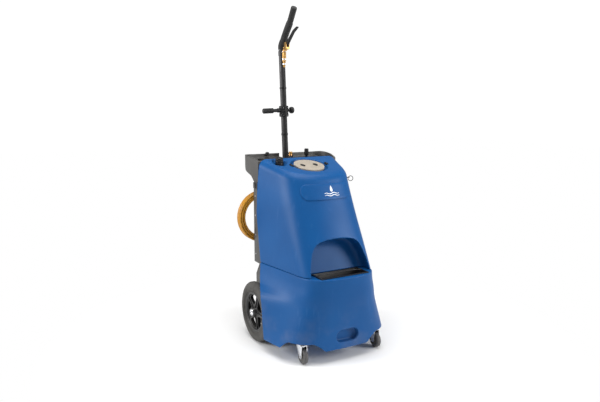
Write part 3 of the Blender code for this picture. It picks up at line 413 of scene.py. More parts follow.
def sweep(points, radii, sides=24, bm=None):
    # a round bar along points, with one radius for each point
    points = [Vector(p) for p in points]
    radii = radii if isinstance(radii, list) else [radii] * len(points)
    runs = [(b - a).normalized() for a, b in zip(points, points[1:])]
    side = runs[0].orthogonal().normalized()
    rings = []
    for i, point in enumerate(points):
        run = (runs[max(i - 1, 0)] + runs[min(i, len(runs) - 1)]).normalized()
        side = (side - run * side.dot(run)).normalized()
        other = run.cross(side)
        rings.append([point + radii[i] * (side * math.cos(2 * math.pi * k / sides)
                                          + other * math.sin(2 * math.pi * k / sides))
                      for k in range(sides)])
    return skin(rings, bm)


def smoothLine(points, step):
    # even points, about one step apart, on a smooth curve through the given ones
    points = [Vector(p) for p in points]
    points = [2 * points[0] - points[1]] + points + [2 * points[-1] - points[-2]]
    fine = []
    for a, b, c, d in zip(points, points[1:], points[2:], points[3:]):
        for k in range(20):
            t = k / 20
            fine.append(0.5 * (2 * b + (c - a) * t + (2 * a - 5 * b + 4 * c - d) * t * t
                               + (3 * b - a - 3 * c + d) * t ** 3))
    fine.append(points[-2])
    length = sum((b - a).length for a, b in zip(fine, fine[1:]))
    count = max(2, round(length / step))
    out = [fine[0]]
    run = 0.0
    for a, b in zip(fine, fine[1:]):
        gap = (b - a).length
        while len(out) < count and run + gap >= len(out) * length / count:
            out.append(a.lerp(b, (len(out) * length / count - run) / gap))
        run += gap
    out.append(fine[-1])
    return out


def placed(point, axis="Z", sign=1):
    turn = Matrix.Identity(4)
    if axis == "X":
        turn = Matrix.Rotation(sign * math.pi / 2, 4, "Y")
    if axis == "Y":
        turn = Matrix.Rotation(-sign * math.pi / 2, 4, "X")
    return Matrix.Translation(point) @ turn


def refined(node, name, body, finish, bevel=0.001, segments=2, slot=None, cuts=()):
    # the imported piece, merged, with rounded edges
    bm = bmesh.new()
    bm.from_mesh(frame["nodes"][node].data)
    bmesh.ops.remove_doubles(bm, verts=bm.verts, dist=0.00001)
    bmesh.ops.dissolve_limit(bm, angle_limit=math.radians(0.6), verts=bm.verts, edges=bm.edges)
    obj = solid(name, bm, finish, recalculate=False)
    carved(obj, cuts)
    if bevel:
        bevelled(obj, bevel, segments)
        obj.data.materials.clear()
        obj.data.materials.append(finish)
    return seat(obj, body, node, slot=slot)


# growing trees for what repeats
def growingTree(name, sizes, build):
    tree = bpy.data.node_groups.new(name, "GeometryNodeTree")
    tree.interface.new_socket("Geometry", in_out="INPUT", socket_type="NodeSocketGeometry")
    for title, kind in sizes.items():
        tree.interface.new_socket(title, in_out="INPUT", socket_type="NodeSocket" + kind)
    tree.interface.new_socket("Material", in_out="INPUT", socket_type="NodeSocketMaterial")
    tree.interface.new_socket("Geometry", in_out="OUTPUT", socket_type="NodeSocketGeometry")
    source = tree.nodes.new("NodeGroupInput")
    target = tree.nodes.new("NodeGroupOutput")

    def add(kind, settings=None, inputs=None, output=0):
        made = tree.nodes.new(kind)
        for key, value in (settings or {}).items():
            setattr(made, key, value)
        for key, value in (inputs or {}).items():
            if isinstance(value, bpy.types.NodeSocket):
                tree.links.new(value, made.inputs[key])
            else:
                made.inputs[key].default_value = value
        return made.outputs[output]

    grown = build(add, source.outputs)
    real = add("GeometryNodeRealizeInstances", inputs={0: grown})
    done = add("GeometryNodeSetMaterial", inputs={0: real, "Material": source.outputs["Material"]})
    tree.links.new(done, target.inputs[0])
    return tree


def rowBuild(add, sizes):
    bar = add("GeometryNodeMeshCube", inputs={"Size": sizes["Size"]})
    line = add("GeometryNodeMeshLine", inputs={"Count": sizes["Count"], "Offset": sizes["Step"]})
    return add("GeometryNodeInstanceOnPoints", inputs={"Points": line, "Instance": bar})


def ringBuild(add, sizes):
    bar = add("GeometryNodeMeshCube", inputs={"Size": sizes["Size"]})
    circle = add("GeometryNodeMeshCircle",
                 inputs={"Vertices": sizes["Count"], "Radius": sizes["Radius"]})
    spot = add("GeometryNodeInputPosition")
    turn = add("FunctionNodeAlignRotationToVector", {"axis": "X"}, {"Vector": spot})
    return add("GeometryNodeInstanceOnPoints",
               inputs={"Points": circle, "Instance": bar, "Rotation": turn})


def screwBuild(add, sizes):
    # a domed head with a cross recess on every point of the source
    head = add("GeometryNodeMeshCone", inputs={"Vertices": 20, "Radius Bottom": sizes["Radius"],
                                               "Radius Top": sizes["Top"],
                                               "Depth": sizes["Height"]})
    slotA = add("GeometryNodeMeshCube", inputs={"Size": sizes["Slot"]})
    slotB = add("GeometryNodeTransform", inputs={0: slotA, "Rotation": (0, 0, math.pi / 2)})
    cross = add("GeometryNodeJoinGeometry")
    node = cross.node
    for part in (slotA, slotB):
        node.id_data.links.new(part, node.inputs[0])
    up = add("ShaderNodeCombineXYZ", inputs={"Z": sizes["Height"]})
    cross = add("GeometryNodeTransform", inputs={0: cross, "Translation": up})
    cut = add("GeometryNodeMeshBoolean", {"operation": "DIFFERENCE"},
              {"Mesh 1": head, "Mesh 2": cross})
    return add("GeometryNodeInstanceOnPoints",
               inputs={"Points": sizes["Geometry"], "Instance": cut})


rowTree = growingTree("row_of_bars", {"Count": "Int", "Step": "Vector", "Size": "Vector"}, rowBuild)
ringTree = growingTree("ring_of_bars", {"Count": "Int", "Radius": "Float", "Size": "Vector"},
                       ringBuild)
screwTree = growingTree("screws", {"Radius": "Float", "Top": "Float", "Height": "Float",
                                   "Slot": "Vector"}, screwBuild)


def grown(tree, name, body, finish, sizes, place, points=((0, 0, 0),), bevel=0.0, slot=None):
    mesh = bpy.data.meshes.new(name)
    mesh.from_pydata(points, [], [])
    obj = bpy.data.objects.new(name, mesh)
    bpy.context.scene.collection.objects.link(obj)
    mod = obj.modifiers.new("grow", "NODES")
    mod.node_group = tree
    for item in tree.interface.items_tree:
        if item.in_out == "INPUT" and item.name in sizes:
            mod[item.identifier] = sizes[item.name]
        if item.in_out == "INPUT" and item.name == "Material":
            mod[item.identifier] = finish
    settled(obj)
    obj.data.transform(place)
    if bevel:
        bevelled(obj, bevel, 2)
    obj.data.materials.clear()
    obj.data.materials.append(finish)
    return seat(obj, body, slot=slot)


screwLook = {"Radius": 0.0042, "Top": 0.0028, "Height": 0.0022, "Slot": (0.0048, 0.0011, 0.0022)}

# power cord: one line from the gland, round the hooks and into the plug
cordLook = {"radius": 0.005, "length": 9.1, "layers": (0.107, 0.118, 0.129),
            "rows": (-0.0156, -0.0052, 0.0052, 0.0156), "crossing": (280.0, 325.0),
            "step": 10, "leave": 271, "sag": (0.0008, 0.0005),
            "plugTurn": -75.0, "plugReach": 0.1673, "bend": 0.043}
leadRoute = ((-0.100, 0.2089, 0.330), (-0.100, 0.2189, 0.330), (-0.0995, 0.2300, 0.3305),
             (-0.095, 0.248, 0.340), (-0.085, 0.260, 0.364), (-0.071, 0.261, 0.398),
             (-0.058, 0.254, 0.435))
coilMiddle = middle("cord_coil")


def coilLine():
    # the strand works inward and outward through the rows, one cell each turn
    cells = []
    for row in range(4):
        order = (2, 1, 0) if row % 2 == 0 else (0, 1, 2)
        cells += [(layer, row) for layer in order]
    low, high = cordLook["crossing"]
    points = []
    for turn, (layer, row) in enumerate(cells):
        ahead = cells[min(turn + 1, len(cells) - 1)]
        stop = 360 if turn < len(cells) - 1 else cordLook["leave"]
        for degrees in range(0, stop, cordLook["step"]):
            share = min(max((degrees - low) / (high - low), 0.0), 1.0)
            share = share * share * (3 - 2 * share)
            radius = cordLook["layers"][layer] * (1 - share) + cordLook["layers"][ahead[0]] * share
            depth = cordLook["rows"][row] * (1 - share) + cordLook["rows"][ahead[1]] * share
            angle = math.radians(degrees)
            radius += cordLook["sag"][0] * math.sin(2 * angle + 1.7 * turn)
            depth += cordLook["sag"][1] * math.sin(3 * angle + 2.3 * turn)
            points.append(coilMiddle + Vector((radius * math.cos(angle), depth,
                                               radius * math.sin(angle))))
    return points


plugTurn = math.radians(cordLook["plugTurn"])
plugWay = Vector((math.cos(plugTurn), 0, math.sin(plugTurn)))
plugBase = coilMiddle + plugWay * cordLook["plugReach"]
plugPlace = Matrix.Translation(plugBase) @ plugWay.to_track_quat("Z", "Y").to_matrix().to_4x4()


def tailLine(start):
    # a wide bend out of the coil, straight into the plug
    turnSide = Vector((plugWay.z, 0, -plugWay.x))
    centre = plugBase + turnSide * cordLook["bend"]
    points = []
    first = math.atan2(start.z - centre.z, start.x - centre.x)
    final = math.atan2(-turnSide.z, -turnSide.x)
    for k in range(1, 9):
        share = k / 8
        angle = first + (final - first) * share
        depth = start.y + (plugBase.y - start.y) * share * share * (3 - 2 * share)
        points.append(Vector((centre.x + cordLook["bend"] * math.cos(angle), depth,
                              centre.z + cordLook["bend"] * math.sin(angle))))
    return points


coilPoints = coilLine()
leadEnd = coilPoints[0]
leadPoints = smoothLine(leadRoute + ((-0.0490, 0.2430, 0.475), (-0.0455, 0.2300, 0.520),
                                     leadEnd - Vector((0, -0.001, 0.040)), leadEnd), 0.0095)
cordPoints = leadPoints[:-1] + coilPoints + tailLine(coilPoints[-1])
cordCurve = bpy.data.curves.new("power_cord", "CURVE")
cordCurve.dimensions = "3D"
cordCurve.bevel_depth = cordLook["radius"]
cordCurve.bevel_resolution = 4
cordCurve.use_fill_caps = True
strand = cordCurve.splines.new("POLY")
strand.points.add(len(cordPoints) - 1)
for slot, point in zip(strand.points, cordPoints):
    slot.co = (*point, 1.0)
strand.use_smooth = True
cordCurve.materials.append(yellowCord)
cord = bpy.data.objects.new("power_cord", cordCurve)
bpy.context.scene.collection.objects.link(cord)
seat(cord, "base", "cord_lead", "cord_coil", slot="yellow_cord")

# the plug: ridged grip, three prongs
plugLook = {"body": ((0, 0.062), (0.0130, 0.062), (0.0165, 0.058), (0.0165, 0.040),
                     (0.0140, 0.034), (0.0120, 0.022), (0.0070, 0.018), (0.0064, 0.0), (0, 0)),
            "prongs": ((-0.0065, 0.003, 0.0016, 0.0063), (0.0065, 0.003, 0.0016, 0.0063))}
profile = softened(plugLook["body"], 0.0016)
plug = solid("plug_body", lathe(profile, 40, plugPlace), blackPlastic)
carved(plug, [tool(lathe([(0.0174, h + 0.0009), (0.0158, h), (0.0174, h - 0.0009)], 40, plugPlace))
              for h in (0.043, 0.0465, 0.050, 0.0535)])
seat(plug, "base", "plug", slot="black_plastic")
prongs = bmesh.new()
for x, y, wide, thick in plugLook["prongs"]:
    brick((x - wide / 2, y - thick / 2, 0.058), (x + wide / 2, y + thick / 2, 0.080), prongs)
lathe([(0, 0.080), (0.0016, 0.079), (0.0023, 0.076), (0.0023, 0.058), (0, 0.058)], 16,
      Matrix.Translation((0, -0.0075, 0)), prongs)
prongs.transform(plugPlace)
plugProngs = bevelled(solid("plug_prongs", prongs, brass), 0.0004)
seat(plugProngs, "base", slot="brass")

# the strain relief at the rear cover
glandAt = Vector((leadRoute[0][0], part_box("cord_gland")[0].y + 0.006, leadRoute[0][2]))
profile = [(0, 0.040), (0.0060, 0.040)]
for k in range(6):
    h = 0.0375 - 0.0045 * k
    r = 0.0064 + 0.0004 * k
    profile += [(r, h), (r, h - 0.0022), (r - 0.0008, h - 0.0026), (r - 0.0008, h - 0.0041)]
profile += [(0.0090, 0.0105), (0.0118, 0.0098), (0.0118, 0.0063), (0.0090, 0.0063), (0.0090, -0.006),
            (0, -0.006)]
gland = solid("strain_relief", lathe(softened(profile, 0.0006, 2), 32, placed(glandAt, "Y")),
              blackPlastic)
seat(gland, "base", "cord_gland", slot="black_plastic")
print("cord", round(sum((b - a).length for a, b in zip(cordPoints, cordPoints[1:])), 3), "m long")


# the two moulded tanks
tank = {"skirt": 0.058, "seam": 0.400, "wall": 0.005, "frontY": -0.328, "tilt": 13.8,
        "shoulder": 0.045, "corner": 34, "side": 12, "grid": 0.0032, "rounding": 7,
        "pull": 0.085, "frontPull": 0.78, "wallRings": 24, "topRings": 12}
lid = {"radius": 0.078, "neck": 0.066, "sink": 0.016}
topMiddle = Vector(joints["lid_turn"]["pos_m"])
# height, front y, side x, side y, rear x, rear y
lowerPlan = ((0.050, -0.324, 0.280, -0.202, 0.305, -0.047),
             (0.130, -0.325, 0.260, -0.202, 0.305, -0.034),
             (0.200, -0.326, 0.241, -0.202, 0.304, -0.022),
             (0.270, -0.327, 0.222, -0.202, 0.300, 0.000),
             (0.320, -0.327, 0.209, -0.202, 0.272, 0.064),
             (0.360, -0.328, 0.199, -0.200, 0.256, 0.094),
             (0.400, -0.328, 0.194, -0.198, 0.243, 0.116))
upperPlan = ((0.400, -0.302, 0.198, -0.187, 0.243, 0.116),
             (0.520, -0.248, 0.200, -0.119, 0.242, 0.138),
             (0.650, -0.1895, 0.200, -0.046, 0.241, 0.158),
             (0.770, -0.1355, 0.200, 0.012, 0.236, 0.158),
             (0.860, -0.095, 0.196, 0.040, 0.228, 0.158),
             (0.960, -0.050, 0.190, 0.060, 0.218, 0.158))


def planAt(table, z):
    # a smooth reading of a height table
    z = min(max(z, table[0][0]), table[-1][0])
    i = max(k for k in range(len(table) - 1) if table[k][0] <= z)
    a, b = table[i], table[i + 1]
    before, after = table[max(i - 1, 0)], table[min(i + 2, len(table) - 1)]
    h = b[0] - a[0]
    t = (z - a[0]) / h
    out = []
    for k in range(1, 6):
        m0 = (b[k] - before[k]) / (b[0] - before[0]) * h
        m1 = (after[k] - a[k]) / (after[0] - a[0]) * h
        out.append((2 * t ** 3 - 3 * t ** 2 + 1) * a[k] + (t ** 3 - 2 * t ** 2 + t) * m0
                   + (3 * t ** 2 - 2 * t ** 3) * b[k] + (t ** 3 - t ** 2) * m1)
    return out


def halfOutline(table, z):
    # the +X half, from the rear edge round to the middle of the front
    front, sideX, sideY, rearX, rearY = planAt(table, z)
    side, rear = Vector((sideX, sideY)), Vector((rearX, rearY))
    pull = side - (rear - side).normalized() * tank["pull"]
    points = [rear.lerp(side, i / tank["side"]) for i in range(tank["side"])]
    for i in range(tank["corner"] + 1):
        t = 1 - i / tank["corner"]
        points.append((1 - t) ** 3 * Vector((0, front))
                      + 3 * (1 - t) ** 2 * t * Vector((sideX * tank["frontPull"], front))
                      + 3 * (1 - t) * t * t * pull + t ** 3 * side)
    return points


def inset(points, depth):
    out = []
    for i, point in enumerate(points):
        run = points[min(i + 1, len(points) - 1)] - points[max(i - 1, 0)]
        normal = Vector((-run.y, run.x)).normalized()
        if i == len(points) - 1:
            normal = Vector((0, 1))
        if normal.x * point.x > 0 or (i == len(points) - 1 and normal.y < 0):
            normal = -normal
        out.append(point + normal * depth)
    return out


def fullRing(half, levels):
    right = [(p.x, p.y, z) for p, z in zip(half, levels)]
    right[-1] = (0.0, half[-1].y, levels[-1])
    return right + [(-x, y, z) for x, y, z in reversed(right[:-1])]


def hullRing(table, z, depth=0.0):
    half = halfOutline(table, z)
    if depth:
        half = inset(half, depth)
    return fullRing(half, [z] * len(half))


def topAt(y):
    return topMiddle.z + (y - topMiddle.y) * math.tan(math.radians(tank["tilt"]))


def faceAt(x, z):
    # y of the upper tank's face
    half = halfOutline(upperPlan, z)[tank["side"]:]
    for a, b in zip(half, half[1:]):
        if b.x <= abs(x) <= a.x:
            return a.y + (b.y - a.y) * (abs(x) - a.x) / (b.x - a.x)
    return half[-1].y


def domeRings():
    # up the walls and over the rounded shoulder to the sloping top
    count = tank["side"] + tank["corner"] + 1
    bottom = tank["seam"] + 2 * touch
    radius = tank["shoulder"]
    starts, leans = [], []
    for i in range(count):
        z, lean = 0.85, 0.0
        for _ in range(5):
            p = halfOutline(upperPlan, z)[i]
            q = halfOutline(upperPlan, z + 0.02)[i]
            lean = math.atan((q - p).length / 0.02) if i > tank["side"] else 0.08
            z = topAt(p.y) - radius * (1 - math.sin(lean))
        starts.append(z)
        leans.append(lean)
    rings = []
    for k in range(tank["wallRings"] + 1):
        levels = [bottom + (start - bottom) * k / tank["wallRings"] for start in starts]
        half = [halfOutline(upperPlan, z)[i] for i, z in enumerate(levels)]
        rings.append(fullRing(half, levels))
    edge = half
    for k in range(1, tank["topRings"] + 1):
        drawn, levels = [], []
        for i in range(count):
            turn = leans[i] + (math.pi / 2 - leans[i]) * k / tank["topRings"]
            p = inset(edge, radius * (math.cos(leans[i]) - math.cos(turn)))[i]
            p = Vector((p.x, edge[0].y)) if i == 0 else p
            drawn.append(p)
            levels.append(topAt(p.y) - radius * (1 - math.sin(turn)))
        rings.append(fullRing(drawn, levels))
    return rings


def moulding(obj, name):
    # one even skin with every edge rounded, as from a mould
    remesh = obj.modifiers.new("skin", "REMESH")
    remesh.mode = "VOXEL"
    remesh.voxel_size = tank["grid"]
    smooth = obj.modifiers.new("rounding", "SMOOTH")
    smooth.factor = 0.5
    smooth.iterations = tank["rounding"]
    settled(obj, 80)
    obj.data.materials.clear()
    obj.data.materials.append(blueShell)
    print(name, len(obj.data.polygons) * 2, "triangles")
    return obj


# lower tank: skirt with wheel and caster arches, hand hold, filler mouth
handHold = {"half": 0.061, "tall": 0.030, "height": 0.121, "depth": 0.032}
wheelLow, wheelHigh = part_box("tyre_right")
axleY, axleZ = middle("tyre_right").yz
wheelRadius = (wheelHigh.z - wheelLow.z) / 2
housingLow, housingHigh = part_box("motor_housing")
basketLow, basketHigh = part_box("fill_basket")
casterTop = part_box("caster_plate_left")[1].z
skirtRise = (tank["seam"] - tank["skirt"]) / tank["wallRings"]
shellLow = solid("lower_shell", skin([hullRing(lowerPlan, tank["skirt"] + skirtRise * k)
                                      for k in range(tank["wallRings"] + 1)]), blueShell)
tools = []
wellBack = axleY - wheelRadius - 0.004
under = tool(skin([hullRing(lowerPlan, z, 0.007) for z in (0.0521, 0.07, 0.085, casterTop + touch)]))


def handSpace(grow):
    # a slot with round ends, pressed into the front
    line = []
    tall = handHold["tall"] + grow
    for side in (1, -1):
        for k in range(17):
            angle = side * (-math.pi / 2 + math.pi * k / 16)
            line.append((side * (handHold["half"] - handHold["tall"]) + side * tall * math.cos(angle),
                         tall * math.sin(angle) + handHold["height"]))
    return tool(prism(line, "Y", tank["frontY"] - 0.03, tank["frontY"] + handHold["depth"] + grow))


carved(under, [tool(brick((-0.5, wellBack - 0.005, 0), (0.5, 0.5, 0.5))), handSpace(0.007)])
tools.append(handSpace(0.0))
tools.append(under)
bayHalf = housingHigh.x + touch
bayTop = housingHigh.z + touch
tools.append(tool(prism([(-bayHalf, 0), (bayHalf, 0), (bayHalf, 0.330), (bayHalf - 0.022, bayTop),
                         (0.022 - bayHalf, bayTop), (-bayHalf, 0.330)], "Y",
                        housingLow.y - touch, 0.3)))
for sign in (-1, 1):
    well = [(0, 0.0265), (wheelRadius - 0.008, 0.0265), (wheelRadius + 0.004, 0.0115),
            (wheelRadius + 0.004, -0.0265), (0, -0.0265)]
    tools.append(tool(lathe(well, 96, placed((sign * 0.270, axleY, axleZ), "X", sign))))
    arch = [(0, casterTop + touch), (0.062, casterTop + touch), (0.080, 0.088), (0.097, 0.072),
            (0.112, tank["skirt"] - 0.001), (0.112, 0), (0, 0)]
    swivel = middle("caster_plate_right" if sign > 0 else "caster_plate_left")
    tools.append(tool(lathe(arch, 72, placed((swivel.x, swivel.y - 0.012, 0)))))
tools.append(tool(brick((basketLow.x + 0.005, basketLow.y + 0.005, 0.24),
                        (basketHigh.x - 0.005, basketHigh.y - 0.005, 0.5))))
carved(shellLow, tools)
seat(moulding(shellLow, "lower tank"), "base", "lower_tank", slot="blue_shell")

# upper tank: arched front recess, round lid well, scoop with the port
archEdge = ((0.168, -0.02), (0.165, 0.01), (0.158, 0.05), (0.150, 0.08), (0.138, 0.115),
            (0.122, 0.142), (0.096, 0.160), (0.050, 0.170), (0.0, 0.172))
archLook = {"depth": 0.105, "slope": 0.45, "face": -0.302, "round": 0.026, "half": 0.168,
            "tall": 0.172}


def archRings():
    half = [(p[0], p[1]) for p in smoothLine([(x, z, 0) for x, z in archEdge], 0.006)]
    half[-1] = (0.0, half[-1][1])
    outline = half + [(-x, z) for x, z in reversed(half[:-1])]
    rings = [[(x, tank["frontY"] - 0.05, tank["seam"] + z) for x, z in outline]]
    for k in range(10):
        turn = math.pi / 2 * k / 9
        shrink = archLook["round"] * (1 - math.cos(turn))
        back = archLook["depth"] - archLook["round"] * (1 - math.sin(turn))
        ring = []
        for x, z in outline:
            rise = max(0.0, z) / archLook["tall"]
            low = z - (0.012 + shrink) * rise
            wide = x * 0.97 * (1 - shrink / archLook["half"])
            ring.append((wide, archLook["face"] + archLook["slope"] * low + back,
                         tank["seam"] + low))
        rings.append(ring)
    return rings


shellTop = solid("upper_shell", skin(domeRings()), blueShell)
topPlace = Matrix.Translation(topMiddle) @ Matrix.Rotation(math.radians(tank["tilt"]), 4, "X")
portAt = middle("vac_port")
portAt.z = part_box("vac_port")[0].z - touch
tools = [tool(skin(archRings()))]
tools.append(tool(lathe([(0, 0.04), (lid["radius"] + 0.040, 0.04), (lid["radius"] + 0.0180, 0.0005),
                         (lid["radius"] + 0.0125, -lid["sink"] + 0.001),
                         (lid["radius"] + 0.0110, -lid["sink"] - 0.0006),
                         (lid["neck"] + 0.0015, -lid["sink"] - 0.0006),
                         (lid["neck"] + 0.0015, -0.05), (0, -0.05)], 96, topPlace)))
scoop = bmesh.new()
bmesh.ops.create_uvsphere(scoop, u_segments=64, v_segments=32, radius=1.0)
scoop.transform(Matrix.Translation((portAt.x - 0.006, portAt.y - 0.022, portAt.z + 0.030))
                @ Matrix.Rotation(math.radians(-8), 4, "Z")
                @ Matrix.Diagonal((0.040, 0.062, 0.034, 1.0)))
tools.append(tool(scoop))
tools.append(tool(lathe([(0, 0.1), (0.0240, 0.1), (0.0240, 0), (0, 0)], 48, placed(portAt))))
tools.append(tool(brick((-0.110, -0.060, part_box("standpipe")[0].z - 0.002), (0.110, 0.120, 0.840))))
carved(shellTop, tools)
seat(moulding(shellTop, "upper tank"), "base", "upper_tank", slot="blue_shell")
print("tanks made")

# label panel, raised a little on the face, with a drop over two waves
panel = {"lift": 0.0036, "round": 0.028, "columns": 64}
panelLow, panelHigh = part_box("label_panel")
rings = []
for k in range(panel["columns"] + 1):
    x = panelLow.x + (panelHigh.x - panelLow.x) * k / panel["columns"]
    edge = max(0.0, abs(x) - (panelHigh.x - panel["round"]))
    trim = min(panel["round"] - math.sqrt(max(panel["round"] ** 2 - edge ** 2, 0.0)),
               panel["round"] * 0.86)
    heights = [panelLow.z + trim + (panelHigh.z - panelLow.z - 2 * trim) * t / 6 for t in range(7)]
    rings.append([(x, faceAt(x, z) - panel["lift"], z) for z in heights]
                 + [(x, faceAt(x, z) + 0.001, z) for z in reversed(heights)])
label = solid("label_panel_face", skin(rings), blueShell)
seat(bevelled(label, 0.0014, 3, 50), "base", "label_panel", slot="blue_shell")


def marked(outline):
    # a thin raised shape that follows the panel
    rings = []
    for rise in (panel["lift"] - 0.0006, panel["lift"] + 0.0006):
        rings.append([(x, faceAt(x, z) - rise, z) for x, z in outline])
    return rings


mark = {"x": 0.022, "wave": 0.0036, "long": 0.084}
marks = bmesh.new()
markZ = (panelLow.z + panelHigh.z) / 2
drop = [(mark["x"] + 0.0100 * math.sin(a) * math.sin(a / 2) ** 1.4, markZ + 0.013 + 0.0145 * math.cos(a))
        for a in (2 * math.pi * k / 28 for k in range(28))]
skin(marked(drop), marks)
for row in (0, 1):
    upper, lower = [], []
    for k in range(25):
        x = mark["x"] + mark["long"] * (k / 24 - 0.5)
        z = markZ - 0.0085 - 0.0095 * row + 0.0026 * math.sin(k / 24 * 4 * math.pi)
        thick = mark["wave"] * math.sin(math.pi * (0.04 + 0.92 * k / 24)) ** 0.5
        upper.append((x, z + thick / 2))
        lower.append((x, z - thick / 2))
    skin(marked(upper + lower[::-1]), marks)
seat(solid("label_mark", marks, whiteMark), "base")

# lid in its well: seal, cream disc, two finger bowls lined with a black sheet as painted shade, a tab at
# each side
lidBase = -lid["sink"] + 0.003 + touch
ring = softened([(lid["radius"], -lid["sink"] + touch), (lid["radius"], lidBase - touch),
                 (lid["neck"] + 0.0025, lidBase - touch), (lid["neck"] + 0.0025, -lid["sink"] + touch)],
                0.0009, 3, True)
seat(solid("lid_seal_ring", lathe(ring, 96, topPlace), gripRubber), "base", "lid_seal",
     slot="black_plastic")
disc = [(0, 0.0112), (0.030, 0.0112), (0.058, 0.0118), (0.0600, 0.0108), (0.0620, 0.0118),
        (lid["radius"] - 0.0005, 0.0118), (lid["radius"], 0.0090), (lid["radius"], 0),
        (lid["neck"], 0), (lid["neck"], -0.014), (lid["neck"] - 0.003, -0.014),
        (lid["neck"] - 0.003, 0.004), (0, 0.004)]
discPlace = topPlace @ Matrix.Translation((0, 0, lidBase))
discLid = solid("disc_lid_body", lathe(softened(disc, 0.0016, 3), 96, discPlace), creamPlastic)
bowl = {"apart": 0.036, "height": 0.0145, "radii": (0.0125, 0.0195, 0.0092)}
bowlTools, bowlShade = [], bmesh.new()
for side in (-1, 1):
    spot = (discPlace @ Matrix.Translation((side * bowl["apart"], 0, bowl["height"]))
            @ Matrix.Diagonal((*bowl["radii"], 1)))
    turnLine = [math.radians(-90 + 6 * k) for k in range(13)]
    bowlTools.append(tool(lathe([(0, -1.0)] + [(math.cos(a), math.sin(a)) for a in turnLine[1:]]
                                + [(math.cos(turnLine[-1]), 1.0), (0, 1.0)], 48, spot)))
    # a thin black shell inside each bowl: painted shade in the hollow
    outer = [(math.cos(a) * 0.998, math.sin(a) * 0.998) for a in turnLine]
    lathe([(0, -0.998)] + outer[1:] + [(r * 0.93, h * 0.93) for r, h in reversed(outer[1:])]
          + [(0, -0.93)], 48, spot, bowlShade)
carved(discLid, bowlTools)
seat(discLid, "disc_lid", "disc_lid", slot="cream_plastic")
seat(solid("finger_bowl_shade", bowlShade, blackPlastic), "disc_lid", slot="black_plastic")
tabs = bmesh.new()
for side in (-1, 1):
    outline = softened([(side * 0.094, -0.015), (side * 0.106, -0.015), (side * 0.106, 0.015),
                        (side * 0.094, 0.015)], 0.004, 4, True)
    gathered(tabs, prism(outline, "Z", -0.006, 0.0045), topPlace)
seat(bevelled(solid("lid_tabs", tabs, blackPlastic), 0.0012, 3), "base", slot="black_plastic")

# vacuum port in the scoop and its domed cap
port = [(0.0180, 0.0262), (0.0205, 0.0245), (0.0205, 0.018), (0.0196, 0.0172), (0.0196, 0.0150),
        (0.0205, 0.0142), (0.0205, 0.0050), (0.0230, 0.0042), (0.0230, touch), (0.0140, touch),
        (0.0140, 0.0262)]
seat(solid("port_tube", lathe(softened(port, 0.0008, 3, True), 64, placed(portAt)), blackPlastic),
     "base", "vac_port", slot="black_plastic")
cap = [(0, 0.0262 + touch), (0.0195, 0.0262 + touch), (0.0199, 0.0290), (0.0188, 0.0300),
       (0.0192, 0.0330)] + [(0.0192 * math.cos(a), 0.0330 + 0.0130 * math.sin(a))
                            for a in (math.radians(10 * k) for k in range(1, 9))] + [(0, 0.0460)]
seat(solid("port_dome", lathe(cap, 64, placed(portAt)), blackPlastic), "port_cap", "port_cap",
     slot="black_plastic")
print("lid, port and panel made")

# big wheels: ribbed sidewalls, five spokes with rounded windows, chrome caps
wheel = {"spokes": 5, "ribs": (0.108, 0.114, 0.121), "rib": 0.0009, "ribBase": 0.006,
         "spokeRib": ((0.024, 0.0022, 0.0016, 0.0165), (0.055, 0.0022, 0.0016, 0.0118),
                      (0.089, 0.0026, 0.0018, 0.0135))}
hubLow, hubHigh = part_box("hub_right")
rim = (hubHigh.z - hubLow.z) / 2 + touch
tyreHalf = (wheelHigh.x - wheelLow.x) / 2
axleR = (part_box("axle")[1].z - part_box("axle")[0].z) / 2


def sidewall(sign):
    line = [(rim, tyreHalf - 0.007), (rim + 0.003, tyreHalf - 0.0045), (rim + 0.010, tyreHalf - 0.003)]
    for r in wheel["ribs"]:
        line += [(r, tyreHalf - 0.0018), (r + 0.0005, tyreHalf - 0.0018 + wheel["rib"]),
                 (r + 0.0020, tyreHalf - 0.0018 + wheel["rib"]), (r + 0.0025, tyreHalf - 0.0016)]
    line += [(wheelRadius - 0.016, tyreHalf - 0.0012), (wheelRadius - 0.0125, tyreHalf - 0.0024),
             (wheelRadius - 0.0085, tyreHalf - 0.0040), (wheelRadius - 0.0045, tyreHalf - 0.0072),
             (wheelRadius - 0.0012, tyreHalf - 0.0125)]
    return [(r, sign * h) for r, h in line[::sign]]


